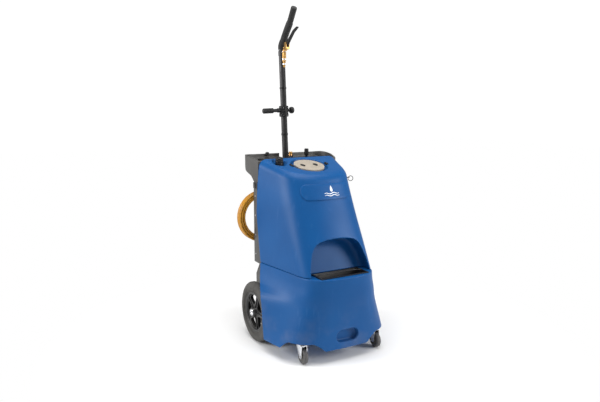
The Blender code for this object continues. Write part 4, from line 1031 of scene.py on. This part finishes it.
tread = []
for k in range(9):
    h = (tyreHalf - 0.0150) * (1 - k / 4)
    tread += [(wheelRadius, h), (wheelRadius, h - 0.0020), (wheelRadius - 0.0014, h - 0.0024),
              (wheelRadius - 0.0014, h - 0.0034)]
tread = [(r, h) for r, h in tread if h > -tyreHalf + 0.0150]
for side in (-1, 1):
    tag = "left" if side < 0 else "right"
    body = "wheel_" + tag
    spot = middle("tyre_" + tag)
    place = placed(spot, "X", side)
    seat(solid("tyre_%s_rubber" % tag, lathe(sidewall(1) + tread + sidewall(-1), 128, place),
               tyreRubber, 28), body, "tyre_" + tag, slot="tyre_rubber")
    profile = [(axleR + 0.0002, 0.0260), (0.0215, 0.0260), (0.0240, 0.0235), (0.0262, 0.0110),
               (0.0400, 0.0086), (0.0840, 0.0078), (0.0875, 0.0090), (0.0900, 0.0145),
               (0.0925, 0.0158), (rim - touch, 0.0160), (rim - touch, -0.0160), (0.0925, -0.0155),
               (0.0885, -0.0080), (0.0400, -0.0070), (0.0260, -0.0095), (axleR + 0.0002, -0.0100)]
    hub = solid("tool", lathe(softened(profile, 0.0011, 2, True), 96, place), hubPlastic)
    cuts = []
    for k in range(wheel["spokes"]):
        turn = 90 + 360 / wheel["spokes"] * k
        edge = [(0.036, 8), (0.060, 24), (0.083, 27.5), (0.0865, 14), (0.0872, 0)]
        edge += [(r, -a) for r, a in reversed(edge[:-1])]
        line = [(r * math.cos(math.radians(turn + a)), r * math.sin(math.radians(turn + a)))
                for r, a in edge]
        window = prism(softened(line, 0.0075, 5, True), "Z", -0.05, 0.05)
        window.transform(place)
        cuts.append(tool(window))
    carved(hub, cuts)
    hub.name = "hub_%s_spoked" % tag
    bevelled(hub, 0.0009, 2)
    seat(hub, body, "hub_" + tag, slot="black_plastic")
    ribs = bmesh.new()
    for k in range(wheel["spokes"]):
        turn = Matrix.Rotation(math.radians(90 + 360 / wheel["spokes"] * (k + 0.5)), 4, "Z")
        rib = skin([[(r, -foot, wheel["ribBase"]), (r, foot, wheel["ribBase"]), (r, crest, top),
                     (r, -crest, top)] for r, foot, crest, top in wheel["spokeRib"]])
        gathered(ribs, rib, place @ turn)
    seat(bevelled(solid("hub_%s_ribs" % tag, ribs, hubPlastic), 0.0007), body, slot="black_plastic")
    cap = [(0, 0.0288), (0.0075, 0.0286), (0.0088, 0.0300), (0.0100, 0.0322), (0.0125, 0.0326),
           (0.0155, 0.0314), (0.0172, 0.0290), (0.0175, 0.0264), (0, 0.0264)]
    seat(solid("hub_cap_%s_ring" % tag, lathe(softened(cap, 0.0008, 3), 64, place), chrome), body,
         "hub_cap_" + tag, slot="chrome")
refined("axle", "axle_bar", "base", steel, 0.0008, slot="steel")
print("wheels made")

# swivel casters: chrome forks and plates, rubber tyres on grey cores
for side in (-1, 1):
    tag = "left" if side < 0 else "right"
    fork, roller = "caster_" + tag, "roller_" + tag
    refined("caster_plate_" + tag, "caster_%s_plate" % tag, "base", chrome, 0.0008, slot="chrome")
    refined("caster_fork_" + tag, "caster_%s_fork" % tag, fork, chrome, 0.0009, 3, slot="chrome")
    refined("caster_pin_" + tag, "caster_%s_pin" % tag, fork, steel, 0.0005, slot="steel")
    low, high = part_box("caster_wheel_" + tag)
    radius, half = (high.z - low.z) / 2, (high.x - low.x) / 2
    place = placed(middle("caster_wheel_" + tag), "X", side)
    core = [(0.0034, half), (0.0085, half), (0.0100, half - 0.002), (0.0108, half - 0.0042),
            (0.0205, half - 0.0042), (0.0220, half - 0.0028), (0.0245, half - 0.0028),
            (0.0245, 0.0028 - half), (0.0220, 0.0028 - half), (0.0205, 0.0042 - half),
            (0.0108, 0.0042 - half), (0.0100, 0.002 - half), (0.0085, -half), (0.0034, -half)]
    seat(solid("roller_%s_core" % tag, lathe(softened(core, 0.0006, 2, True), 64, place), greyPlastic),
         roller, slot="grey_plastic")
    rolling = [(0.0246, half - 0.0022), (0.0268, half - 0.0010), (radius - 0.0060, half - 0.0012),
               (radius - 0.0020, half - 0.0035), (radius, half - 0.0080), (radius, 0.0080 - half),
               (radius - 0.0020, 0.0035 - half), (radius - 0.0060, 0.0012 - half),
               (0.0268, 0.0010 - half), (0.0246, 0.0022 - half)]
    seat(solid("roller_%s_tyre" % tag, lathe(softened(rolling, 0.0016, 3, True), 80, place),
               casterRubber), roller, "caster_wheel_" + tag, slot="tyre_rubber")
print("casters made")

# strainer basket in the recess: slotted tray with a wire bail
refined("fill_basket", "strainer_basket", "fill_basket", blackPlastic, 0.0012, 2, slot="black_plastic")
basketMiddle = (basketLow + basketHigh) / 2
grown(rowTree, "basket_slats", "fill_basket", blackPlastic,
      {"Count": 3, "Step": (0, 0.021, 0), "Size": (0.236, 0.0022, 0.0035)},
      Matrix.Translation((0, basketMiddle.y - 0.021, basketLow.z + 0.0045)), bevel=0.0005)
# half of the bail, as distances from the middle and above the rim
bailLook = {"half": ((0.118, -0.012), (0.112, 0.003), (0, 0.006)), "wire": 0.0018}
bail = [(-x, basketMiddle.y, basketHigh.z + rise) for x, rise in bailLook["half"]]
bail = smoothLine(bail + [(-x, y, z) for x, y, z in reversed(bail[:-1])], 0.006)
seat(solid("basket_bail", sweep(bail, bailLook["wire"], 12), darkSteel), "fill_basket", slot="dark_steel")

# motor housing, rear cover with louvres and screws
refined("motor_housing", "motor_bay", "base", greyPlastic, 0.0016, 2, slot="grey_plastic")
refined("rear_cover", "rear_cover_panel", "base", greyPlastic, 0.0012, 2, slot="grey_plastic")
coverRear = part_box("rear_cover")[1].y
grown(rowTree, "rear_louvres", "base", greyPlastic,
      {"Count": 7, "Step": (0, 0, 0.016), "Size": (0.158, 0.0036, 0.0052)},
      Matrix.Translation((0.10, coverRear + 0.0016, 0.2425)), bevel=0.0009)
screwSpots = [(x, -y, 0) for x in (-0.215, -0.07, 0.07, 0.215) for y in (0.095, 0.215)]
screwSpots += [(x, -0.318, 0) for x in (-0.19, 0.19)]
grown(screwTree, "rear_cover_screws", "base", steel, screwLook,
      Matrix.Translation((0, coverRear + 0.0008, 0)) @ Matrix.Rotation(-math.pi / 2, 4, "X"),
      points=screwSpots, slot="steel")

# back frame with ribs and screws
refined("back_frame", "back_channel", "base", greyPlastic, 0.0022, 3, slot="grey_plastic")
grown(rowTree, "back_frame_ribs", "base", greyPlastic,
      {"Count": 2, "Step": (0.400, 0, 0), "Size": (0.006, 0.010, 0.130)},
      Matrix.Translation((-0.200, 0.1688, 0.720)), bevel=0.0009)
sideScrews = Matrix.Translation((-0.2362, 0.178, 0.430)) @ Matrix.Rotation(-math.pi / 2, 4, "Y")
grown(screwTree, "back_frame_screws", "base", steel, screwLook, sideScrews,
      points=((0, 0, 0), (0.10, 0, 0), (0.20, 0, 0), (0.30, 0, 0)), slot="steel")

# black blocks on each side of the frame below the tray: painted shade standing in for the dark slots
# there
slotShade = bmesh.new()
for sign in (-1, 1):
    a, b = sorted((sign * 0.232, sign * 0.2405))
    brick((a, 0.163, 0.770), (b, 0.193, 0.7985), slotShade)
seat(bevelled(solid("frame_slot_shade", slotShade, blackPlastic), 0.0016, 3), "base", slot="black_plastic")

# handle tray: rounded plan, deep pocket, rim that falls to the front, finger bump
trayLow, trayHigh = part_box("handle_tray")
trayLook = {"round": 0.078, "wall": 0.0095, "floor": 0.839, "reach": 0.30, "notch": 0.0195}
trayRear = trayHigh.y


def trayPlan(inset, low, high):
    half = trayHigh.x - inset
    front = half - 0.026
    line = [(front, trayLow.y - 0.02), (half, trayRear - inset), (0.03, trayRear - inset)]
    line = softened(line, trayLook["round"] - inset * 0.6, 8)
    return tool(prism(line + [(-x, y) for x, y in reversed(line)], "Z", low, high))


side = softened([(trayLow.y, trayLow.z), (trayLow.y, trayHigh.z - 0.040), (0.215, trayHigh.z - 0.026),
                 (trayRear - 0.012, trayHigh.z - 0.0175), (trayRear, trayHigh.z - 0.024),
                 (trayRear, trayHigh.z - 0.045), (trayRear - 0.046, 0.852), (0.222, 0.828),
                 (0.198, trayLow.z)], 0.006, 4, True)
tray = solid("tool", prism(side, "X", -trayLook["reach"], trayLook["reach"]), greyPlastic)
carved(tray, [trayPlan(0.0, 0.7, 1.1)], "INTERSECT")
pocket = softened([(0.166, trayLook["floor"]), (0.166, 1.05), (trayRear - trayLook["wall"], 1.05),
                   (trayRear - trayLook["wall"], trayHigh.z - 0.036), (trayRear - 0.054, 0.864),
                   (0.220, trayLook["floor"])], 0.005, 4, True)
inner = tool(prism(pocket, "X", -trayLook["reach"], trayLook["reach"]))
carved(inner, [trayPlan(trayLook["wall"], 0.8, 1.2)], "INTERSECT")
tubeMiddle = middle("wand_tube")
tubeLow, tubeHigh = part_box("wand_tube")
wandWay = Vector(joints["wand_lift"]["axis"]).normalized()


def wandAt(z, x=0.0, y=0.0):
    return Vector((tubeMiddle.x + wandWay.x / wandWay.z * (z - tubeMiddle.z) + x, tubeMiddle.y + y, z))


notchAt = wandAt(0.90)
carved(tray, [inner, tool(brick((notchAt.x - trayLook["notch"], notchAt.y - 0.030, 0.79),
                                (notchAt.x + trayLook["notch"], 0.42, 1.02)))])
tray.name = "tray_shell"
seat(bevelled(tray, 0.0022, 3, 30), "base", "handle_tray", slot="grey_plastic")
bump = [(0, 0.0095), (0.005, 0.0088), (0.0092, 0.0060), (0.0115, 0.0010), (0.0125, -0.008), (0, -0.008)]
seat(solid("tray_bump", lathe(softened(bump, 0.001, 3), 40,
                              placed((-0.100, trayRear - 0.0125, trayHigh.z - 0.0200))), blackPlastic),
     "base", slot="black_plastic")

# console with rockers, coupler and pressure knob
refined("console", "console_box", "base", blackPlastic, 0.0020, 3, slot="black_plastic")
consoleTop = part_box("rocker_switch_1")[1].z - 0.0055
for number in (1, 2):
    refined("rocker_switch_%d" % number, "rocker_%d_cap" % number, "rocker_%d" % number, blackPlastic,
            0.0007, 3, slot="black_plastic")
bezels = bmesh.new()
for number in (1, 2):
    low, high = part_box("rocker_switch_%d" % number)
    x, y = (low.x + high.x) / 2, (low.y + high.y) / 2
    for a, b in (((-0.0135, -0.0190), (0.0135, -0.0165)), ((-0.0135, 0.0165), (0.0135, 0.0190)),
                 ((-0.0135, -0.0166), (-0.0108, 0.0166)), ((0.0108, -0.0166), (0.0135, 0.0166))):
        brick((x + a[0], y + a[1], consoleTop - 0.001), (x + b[0], y + b[1], consoleTop + 0.0014), bezels)
seat(bevelled(solid("rocker_bezels", bezels, greyPlastic), 0.0004), "base", slot="grey_plastic")
couplerMiddle = middle("brass_coupler")
couplerAt = Vector((couplerMiddle.x, couplerMiddle.y, consoleTop))
foot = [(0, 0.008), (0.0125, 0.008), (0.0145, 0.006), (0.0145, -0.004), (0, -0.004)]
seat(solid("coupler_foot", lathe(softened(foot, 0.0008), 48, placed(couplerAt)), blackPlastic), "base",
     slot="black_plastic")
coupler = [(0.0050, 0.0300), (0.0085, 0.0300), (0.0095, 0.0285), (0.0095, 0.0262), (0.0088, 0.0256),
           (0.0095, 0.0250), (0.0095, 0.0222), (0.0078, 0.0212), (0.0078, 0.0172), (0.0104, 0.0162),
           (0.0104, 0.0086), (0.0040, 0.0086), (0.0040, 0.0140)]
seat(solid("coupler_body", lathe(softened(coupler, 0.0004, 2, True), 48, placed(couplerAt)), brass),
     "base", "brass_coupler", slot="brass")
grown(ringTree, "coupler_knurl", "base", copper,
      {"Count": 24, "Radius": 0.0104, "Size": (0.0010, 0.0013, 0.0060)},
      placed(couplerAt + Vector((0, 0, 0.0126))), bevel=0.0002, slot="brass")
knobMiddle = middle("pressure_knob")
knobAt = Vector((knobMiddle.x, knobMiddle.y, consoleTop))
knob = [(0, 0.0420), (0.0070, 0.0420), (0.0080, 0.0430), (0.0098, 0.0424), (0.0106, 0.0405),
        (0.0106, 0.0070), (0.0100, 0.0060), (0.0060, 0.0055), (0.0060, touch), (0, touch)]
seat(solid("knob_body", lathe(softened(knob, 0.0006), 48, placed(knobAt)), blackPlastic),
     "pressure_knob", "pressure_knob", slot="black_plastic")
grown(ringTree, "knob_flutes", "pressure_knob", blackPlastic,
      {"Count": 18, "Radius": 0.0106, "Size": (0.0016, 0.0017, 0.0300)},
      placed(knobAt + Vector((0, 0, 0.0235))), bevel=0.0005, slot="black_plastic")
print("tray and console made")

# inside: deck, two suction motors with cooling fins, pump, terminal box, standpipe, float
refined("motor_deck", "deck_plate", "base", steel, 0.0008, slot="steel")
for tag in "ab":
    low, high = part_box("vac_motor_" + tag)
    spot = Vector(((low.x + high.x) / 2, (low.y + high.y) / 2, low.z - touch))
    tall = high.z - spot.z
    case = [(0, tall), (0.022, tall), (0.028, tall - 0.004), (0.034, tall - 0.015),
            (0.039, tall - 0.056), (0.046, tall - 0.064), (0.066, tall - 0.066), (0.068, tall - 0.070),
            (0.068, 0.048), (0.0664, 0.046), (0.0664, 0.042), (0.068, 0.040), (0.068, 0.013),
            (0.071, 0.010), (0.071, touch), (0, touch)]
    seat(solid("motor_%s_case" % tag, lathe(softened(case, 0.0018), 64, placed(spot)), motorCase),
         "base", "vac_motor_" + tag, slot="motor_case")
    grown(ringTree, "motor_%s_fins" % tag, "base", motorCase,
          {"Count": 28, "Radius": 0.0375, "Size": (0.010, 0.0016, 0.034)},
          placed(spot + Vector((0, 0, tall - 0.042))), bevel=0.0004, slot="motor_case")
refined("solution_pump", "pump_block", "base", blackPlastic, 0.0016, 3, slot="black_plastic")
refined("terminal_box", "terminal_cover", "base", greyPlastic, 0.0016, 3, slot="grey_plastic")
pumpLow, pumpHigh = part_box("solution_pump")
grown(rowTree, "pump_ribs", "base", blackPlastic,
      {"Count": 6, "Step": (0.015, 0, 0), "Size": (0.003, 0.090, 0.004)},
      Matrix.Translation((pumpLow.x + 0.015, (pumpLow.y + pumpHigh.y) / 2, pumpHigh.z + 0.001)),
      bevel=0.0006)
refined("standpipe", "suction_pipe", "base", greyPlastic, 0.0008, slot="grey_plastic")
refined("float_cage", "float_basket", "base", greyPlastic, 0.0006, slot="grey_plastic")
ball = [(0, -0.021)] + [(0.021 * math.cos(a), 0.021 * math.sin(a))
                        for a in (math.radians(-84 + 6 * k) for k in range(29))] + [(0, 0.021)]
seat(solid("float_sphere", lathe(ball, 48, placed(middle("float_ball"))), creamPlastic), "float_ball",
     "float_ball", slot="cream_plastic")

# drain valve and its lever
refined("drain_valve", "drain_body", "base", blackPlastic, 0.0009, 3, slot="black_plastic")
drainAt = Vector(joints["drain_turn"]["pos_m"])
grown(ringTree, "drain_grip", "base", blackPlastic,
      {"Count": 20, "Radius": 0.0192, "Size": (0.0014, 0.0020, 0.016)},
      placed((drainAt.x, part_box("drain_valve")[1].y - 0.012, drainAt.z), "Y"), bevel=0.0004,
      slot="black_plastic")
refined("drain_lever", "drain_handle", "drain_lever", yellowCord, 0.0016, 3, slot="yellow_cord")
print("inside and drain made")

# floor wand: tube with end collars, two-stage grip, valve, trigger, line
wand = {"tube": 0.016, "grip": 0.0185, "line": 0.0045, "lineGap": 0.0225}
# where the grip changes, as shares of its length
gripZones = {"neck": (0.185, 0.215), "cuff": 0.20, "ribs": (0.24, 0.93), "slim": 0.66}
tubePoints = [wandAt(tubeLow.z + (tubeHigh.z - tubeLow.z) * k / 12) for k in range(13)]
tube = sweep(tubePoints, wand["tube"], 48)
lean = Matrix.Rotation(math.atan2(wandWay.x, wandWay.z), 4, "Y")
for z in (tubeLow.z + 0.016, tubeHigh.z - 0.022):
    collar = [(0.0150, 0.012), (0.0172, 0.012), (0.0178, 0.010), (0.0178, -0.010), (0.0172, -0.012),
              (0.0150, -0.012)]
    lathe(softened(collar, 0.0006, 2, True), 48, Matrix.Translation(wandAt(z)) @ lean, tube)
seat(solid("wand_tube_bar", tube, darkSteel), "wand", "wand_tube", slot="dark_steel")
wandY = tubeMiddle.y
gripLine = smoothLine([wandAt(1.4673), wandAt(1.478), wandAt(1.491, 0, -0.006), wandAt(1.513, 0, -0.027),
                       wandAt(1.555, 0, -0.066), wandAt(1.592, 0, -0.1015), wandAt(1.6560, 0, -0.1498)],
                      0.0016)
radii = []
ribStart, ribEnd = gripZones["ribs"]
for k in range(len(gripLine)):
    share = k / (len(gripLine) - 1)
    r = wand["grip"] - (0.0008 if share < gripZones["cuff"] else 0.0016)
    if ribStart < share < ribEnd:
        r += 0.0010 * math.sin(k * math.pi / 2.5)
    if share >= ribEnd:
        r = wand["grip"] - 0.0022 + 0.0012 * math.sin(math.pi * (share - ribEnd) / (1 - ribEnd))
    if gripZones["neck"][0] < share < gripZones["neck"][1]:
        r -= 0.0022
    if share > gripZones["slim"]:
        r -= 0.0020
    radii.append(r)
seat(solid("wand_grip_sleeve", sweep(gripLine, radii, 40), gripRubber, 40), "wand", "wand_grip",
     slot="black_plastic")
valveAt = Vector((wandAt(1.43).x, wandY - 0.0265, 1.375))
refined("wand_valve", "valve_block", "wand", brass, 0.0009, 2, slot="brass")
nuts = bmesh.new()
for z, r, tall in ((0.0350, 0.0112, 0.010), (0.0120, 0.0086, 0.008), (0.0760, 0.0108, 0.006)):
    ring = [(r * math.cos(math.pi / 3 * k), r * math.sin(math.pi / 3 * k)) for k in range(6)]
    gathered(nuts, prism(ring, "Z", z, z + tall), Matrix.Translation(valveAt))
seat(bevelled(solid("valve_nuts", nuts, steel), 0.0006), "wand", slot="steel")
refined("wand_trigger", "trigger_lever", "wand_trigger", blackPlastic, 0.0016, 3, slot="black_plastic")
lineX = valveAt.x
line = [(lineX, valveAt.y, 1.3747), (lineX, valveAt.y - 0.002, 1.34)]
line += [wandAt(z, 0, -wand["lineGap"]) for z in (1.27, 1.04, 0.80, 0.345)]
line = smoothLine(line, 0.012)
seat(solid("wand_hose", sweep(line, wand["line"], 16), gripRubber), "wand", "solution_line",
     slot="black_plastic")
clips = bmesh.new()
for z in (0.52, 0.80, 1.03, 1.27):
    strap = [(0.0165, 0.005), (0.0178, 0.005), (0.0178, -0.005), (0.0165, -0.005)]
    lathe(strap, 40, Matrix.Translation(wandAt(z)) @ lean, clips)
    hold = [(0.0046, 0.005), (0.0057, 0.005), (0.0057, -0.005), (0.0046, -0.005)]
    lathe(hold, 24, Matrix.Translation(wandAt(z, 0, -wand["lineGap"])) @ lean, clips)
seat(solid("hose_clips", clips, blackPlastic), "wand", slot="black_plastic")

# helper handle: split clamp with screws, side bar, fluted round knob
clampMiddle = middle("handle_clamp")
clampPlace = Matrix.Translation(wandAt(clampMiddle.z)) @ lean
clamp = [(0.0163, 0.028), (0.0222, 0.028), (0.0242, 0.026), (0.0245, 0.024), (0.0245, 0.0120),
         (0.0232, 0.0110), (0.0232, 0.0060), (0.0245, 0.0050), (0.0245, -0.0050), (0.0232, -0.0060),
         (0.0232, -0.0110), (0.0245, -0.0120), (0.0245, -0.024), (0.0242, -0.026), (0.0222, -0.028),
         (0.0163, -0.028)]
clampRing = solid("tool", lathe(softened(clamp, 0.0006, 2, True), 64, clampPlace), blackPlastic)
carved(clampRing, [tool(brick((wandAt(1.15).x - 0.0062, wandY - 0.040, 1.10),
                              (wandAt(1.15).x + 0.0062, wandY - 0.0155, 1.20)))])
clampRing.name = "clamp_ring"
seat(bevelled(clampRing, 0.0008), "wand", "handle_clamp", slot="black_plastic")
grown(screwTree, "clamp_screws", "wand", steel,
      {"Radius": 0.0034, "Top": 0.0026, "Height": 0.0020, "Slot": (0.0040, 0.0010, 0.0020)},
      clampPlace @ Matrix.Translation((0, -0.0240, 0)) @ Matrix.Rotation(math.pi / 2, 4, "X"),
      points=((0.0115, 0.0195, -0.004), (0.0115, -0.0195, -0.004), (-0.0115, 0.0195, -0.004),
              (-0.0115, -0.0195, -0.004)), slot="steel")
bar = [(0, 0.0980), (0.0065, 0.0976), (0.0105, 0.0962), (0.0135, 0.0930), (0.0135, 0.0860)]
for k in range(8):
    h = 0.0850 - 0.0052 * k
    bar += [(0.0135, h), (0.0126, h - 0.0008), (0.0126, h - 0.0018), (0.0135, h - 0.0026)]
bar += [(0.0135, 0.0400), (0.0120, 0.0380), (0.0090, 0.0360), (0.0090, 0.0130), (0.0115, 0.0120),
        (0.0115, touch), (0, touch)]
seat(solid("side_handle", lathe(bar, 48, clampPlace @ placed((-0.0245 - touch, 0, 0.006), "X", -1)),
           blackPlastic), "wand", "side_bar", slot="black_plastic")
knob = [(0, 0.0340), (0.0070, 0.0338), (0.0120, 0.0326), (0.0155, 0.0300), (0.0170, 0.0260),
        (0.0172, 0.0215), (0.0165, 0.0160), (0.0152, 0.0120), (0.0110, 0.0104), (0.0075, 0.0100),
        (0.0075, touch), (0, touch)]
knobPlace = clampPlace @ placed((0.0245 + touch, 0, 0.004), "X")
seat(solid("clamp_knob_head", lathe(softened(knob, 0.001, 2), 48, knobPlace), blackPlastic),
     "clamp_knob", "clamp_knob", slot="black_plastic")
grown(ringTree, "clamp_knob_flutes", "clamp_knob", blackPlastic,
      {"Count": 16, "Radius": 0.0166, "Size": (0.0018, 0.0026, 0.011)},
      knobPlace @ Matrix.Translation((0, 0, 0.0212)), bevel=0.0006, slot="black_plastic")
badge = [(0, 0.0346), (0.0052, 0.0343), (0.0062, 0.0332), (0.0062, 0.0322), (0, 0.0322)]
seat(solid("clamp_knob_stud", lathe(badge, 32, knobPlace), chrome), "clamp_knob", slot="chrome")
refined("wand_head", "floor_head", "wand", darkSteel, 0.0014, 3, slot="dark_steel")
headLow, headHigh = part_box("wand_head")
lipLook = ((0.0138, 0.002), (0.0175, 0.005), (0.0175, 0.012), (0.0138, 0.018))
lip = bmesh.new()
for sign in (-1, 1):
    outline = [(wandY + sign * out, headLow.z + rise) for out, rise in lipLook]
    outline = softened(outline, 0.0012, 3, True)
    prism(outline, "X", headLow.x + 0.012, headHigh.x - 0.012, lip)
seat(solid("head_lips", lip, steel), "wand", slot="steel")
refined("wand_shelf", "shelf_bracket", "base", steel, 0.0008, 2, slot="steel")
print("wand made")

# cord hooks, wire ring in its eyelet
refined("cord_hook_upper", "hook_upper", "base", blackPlastic, 0.0008, 2, slot="black_plastic")
refined("cord_hook_lower", "hook_lower", "base", blackPlastic, 0.0008, 2, slot="black_plastic")
plates = bmesh.new()
for name in ("cord_hook_upper", "cord_hook_lower"):
    low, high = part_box(name)
    level = low.z + 0.007 if name == "cord_hook_upper" else high.z - 0.007
    foot = [(0, 0.0040), (0.0150, 0.0040), (0.0170, 0.0028), (0.0170, 0), (0, 0)]
    lathe(softened(foot, 0.0006), 40, placed(((low.x + high.x) / 2, low.y - 0.0002, level), "Y"), plates)
seat(solid("hook_plates", plates, blackPlastic), "base", slot="black_plastic")
refined("ring_eyelet", "eyelet_lug", "base", blackPlastic, 0.0006, 2, slot="black_plastic")
refined("wire_ring", "split_ring", "wire_ring", darkSteel, 0, 0, slot="steel")
print("all pieces made")

# floor and light
floorLook = {"size": 26.0, "height": -0.0005, "near": 0.70, "far": 1.35}
floor = Finish("floor_finish", 0.80, 0.0, 0.15)
floor.set("Base Color", floor.blend(floor.noise(2.0), (0.93, 0.93, 0.93), (0.91, 0.91, 0.91)))
reach = floor.node("VectorMath", {"operation": "LENGTH"}, {0: floor.place}, "Value")
fade = floor.between(reach, floorLook["near"], floorLook["far"])
tree = floor.tree
glow = tree.nodes.new("ShaderNodeEmission")
glow.inputs["Color"].default_value = (1.0, 1.0, 1.0, 1.0)
glow.inputs["Strength"].default_value = 1.0
mix = tree.nodes.new("ShaderNodeMixShader")
end = next(node for node in tree.nodes if node.type == "OUTPUT_MATERIAL")
surface = end.inputs["Surface"].links[0].from_socket
floor.feed(mix.inputs["Fac"], fade)
tree.links.new(surface, mix.inputs[1])
tree.links.new(glow.outputs[0], mix.inputs[2])
tree.links.new(mix.outputs[0], end.inputs["Surface"])
ground = bmesh.new()
bmesh.ops.create_grid(ground, x_segments=4, y_segments=4, size=floorLook["size"] / 2)
bmesh.ops.translate(ground, vec=(0, 0, floorLook["height"]), verts=ground.verts)
solid("floor", ground, floor.material, recalculate=False)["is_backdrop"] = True
world = bpy.data.worlds.new("studio")
world.use_nodes = True
sky = world.node_tree
seen = sky.nodes.new("ShaderNodeLightPath")
share = sky.nodes.new("ShaderNodeMapRange")
share.inputs["To Min"].default_value = 0.30
share.inputs["To Max"].default_value = 1.05
sky.links.new(seen.outputs["Is Camera Ray"], share.inputs["Value"])
sky.nodes["Background"].inputs["Color"].default_value = (1.0, 1.0, 1.0, 1.0)
sky.links.new(share.outputs["Result"], sky.nodes["Background"].inputs["Strength"])
bpy.context.scene.world = world
lamps = {"left_box": {"at": (-3.4, 1.1, 1.7), "size": 1.6, "power": 95.0},
         "right_box": {"at": (3.0, -2.9, 1.9), "size": 1.8, "power": 112.0},
         "top_box": {"at": (-0.2, -0.3, 3.6), "size": 2.8, "power": 105.0}}
for name, look in lamps.items():
    lamp = bpy.data.lights.new(name, "AREA")
    lamp.size = look["size"]
    lamp.energy = look["power"]
    lampObject = bpy.data.objects.new(name, lamp)
    lampObject.location = look["at"]
    aim = Vector((0, 0, 0.55)) - Vector(look["at"])
    lampObject.rotation_euler = aim.to_track_quat("-Z", "Y").to_euler()
    bpy.context.scene.collection.objects.link(lampObject)

low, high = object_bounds()
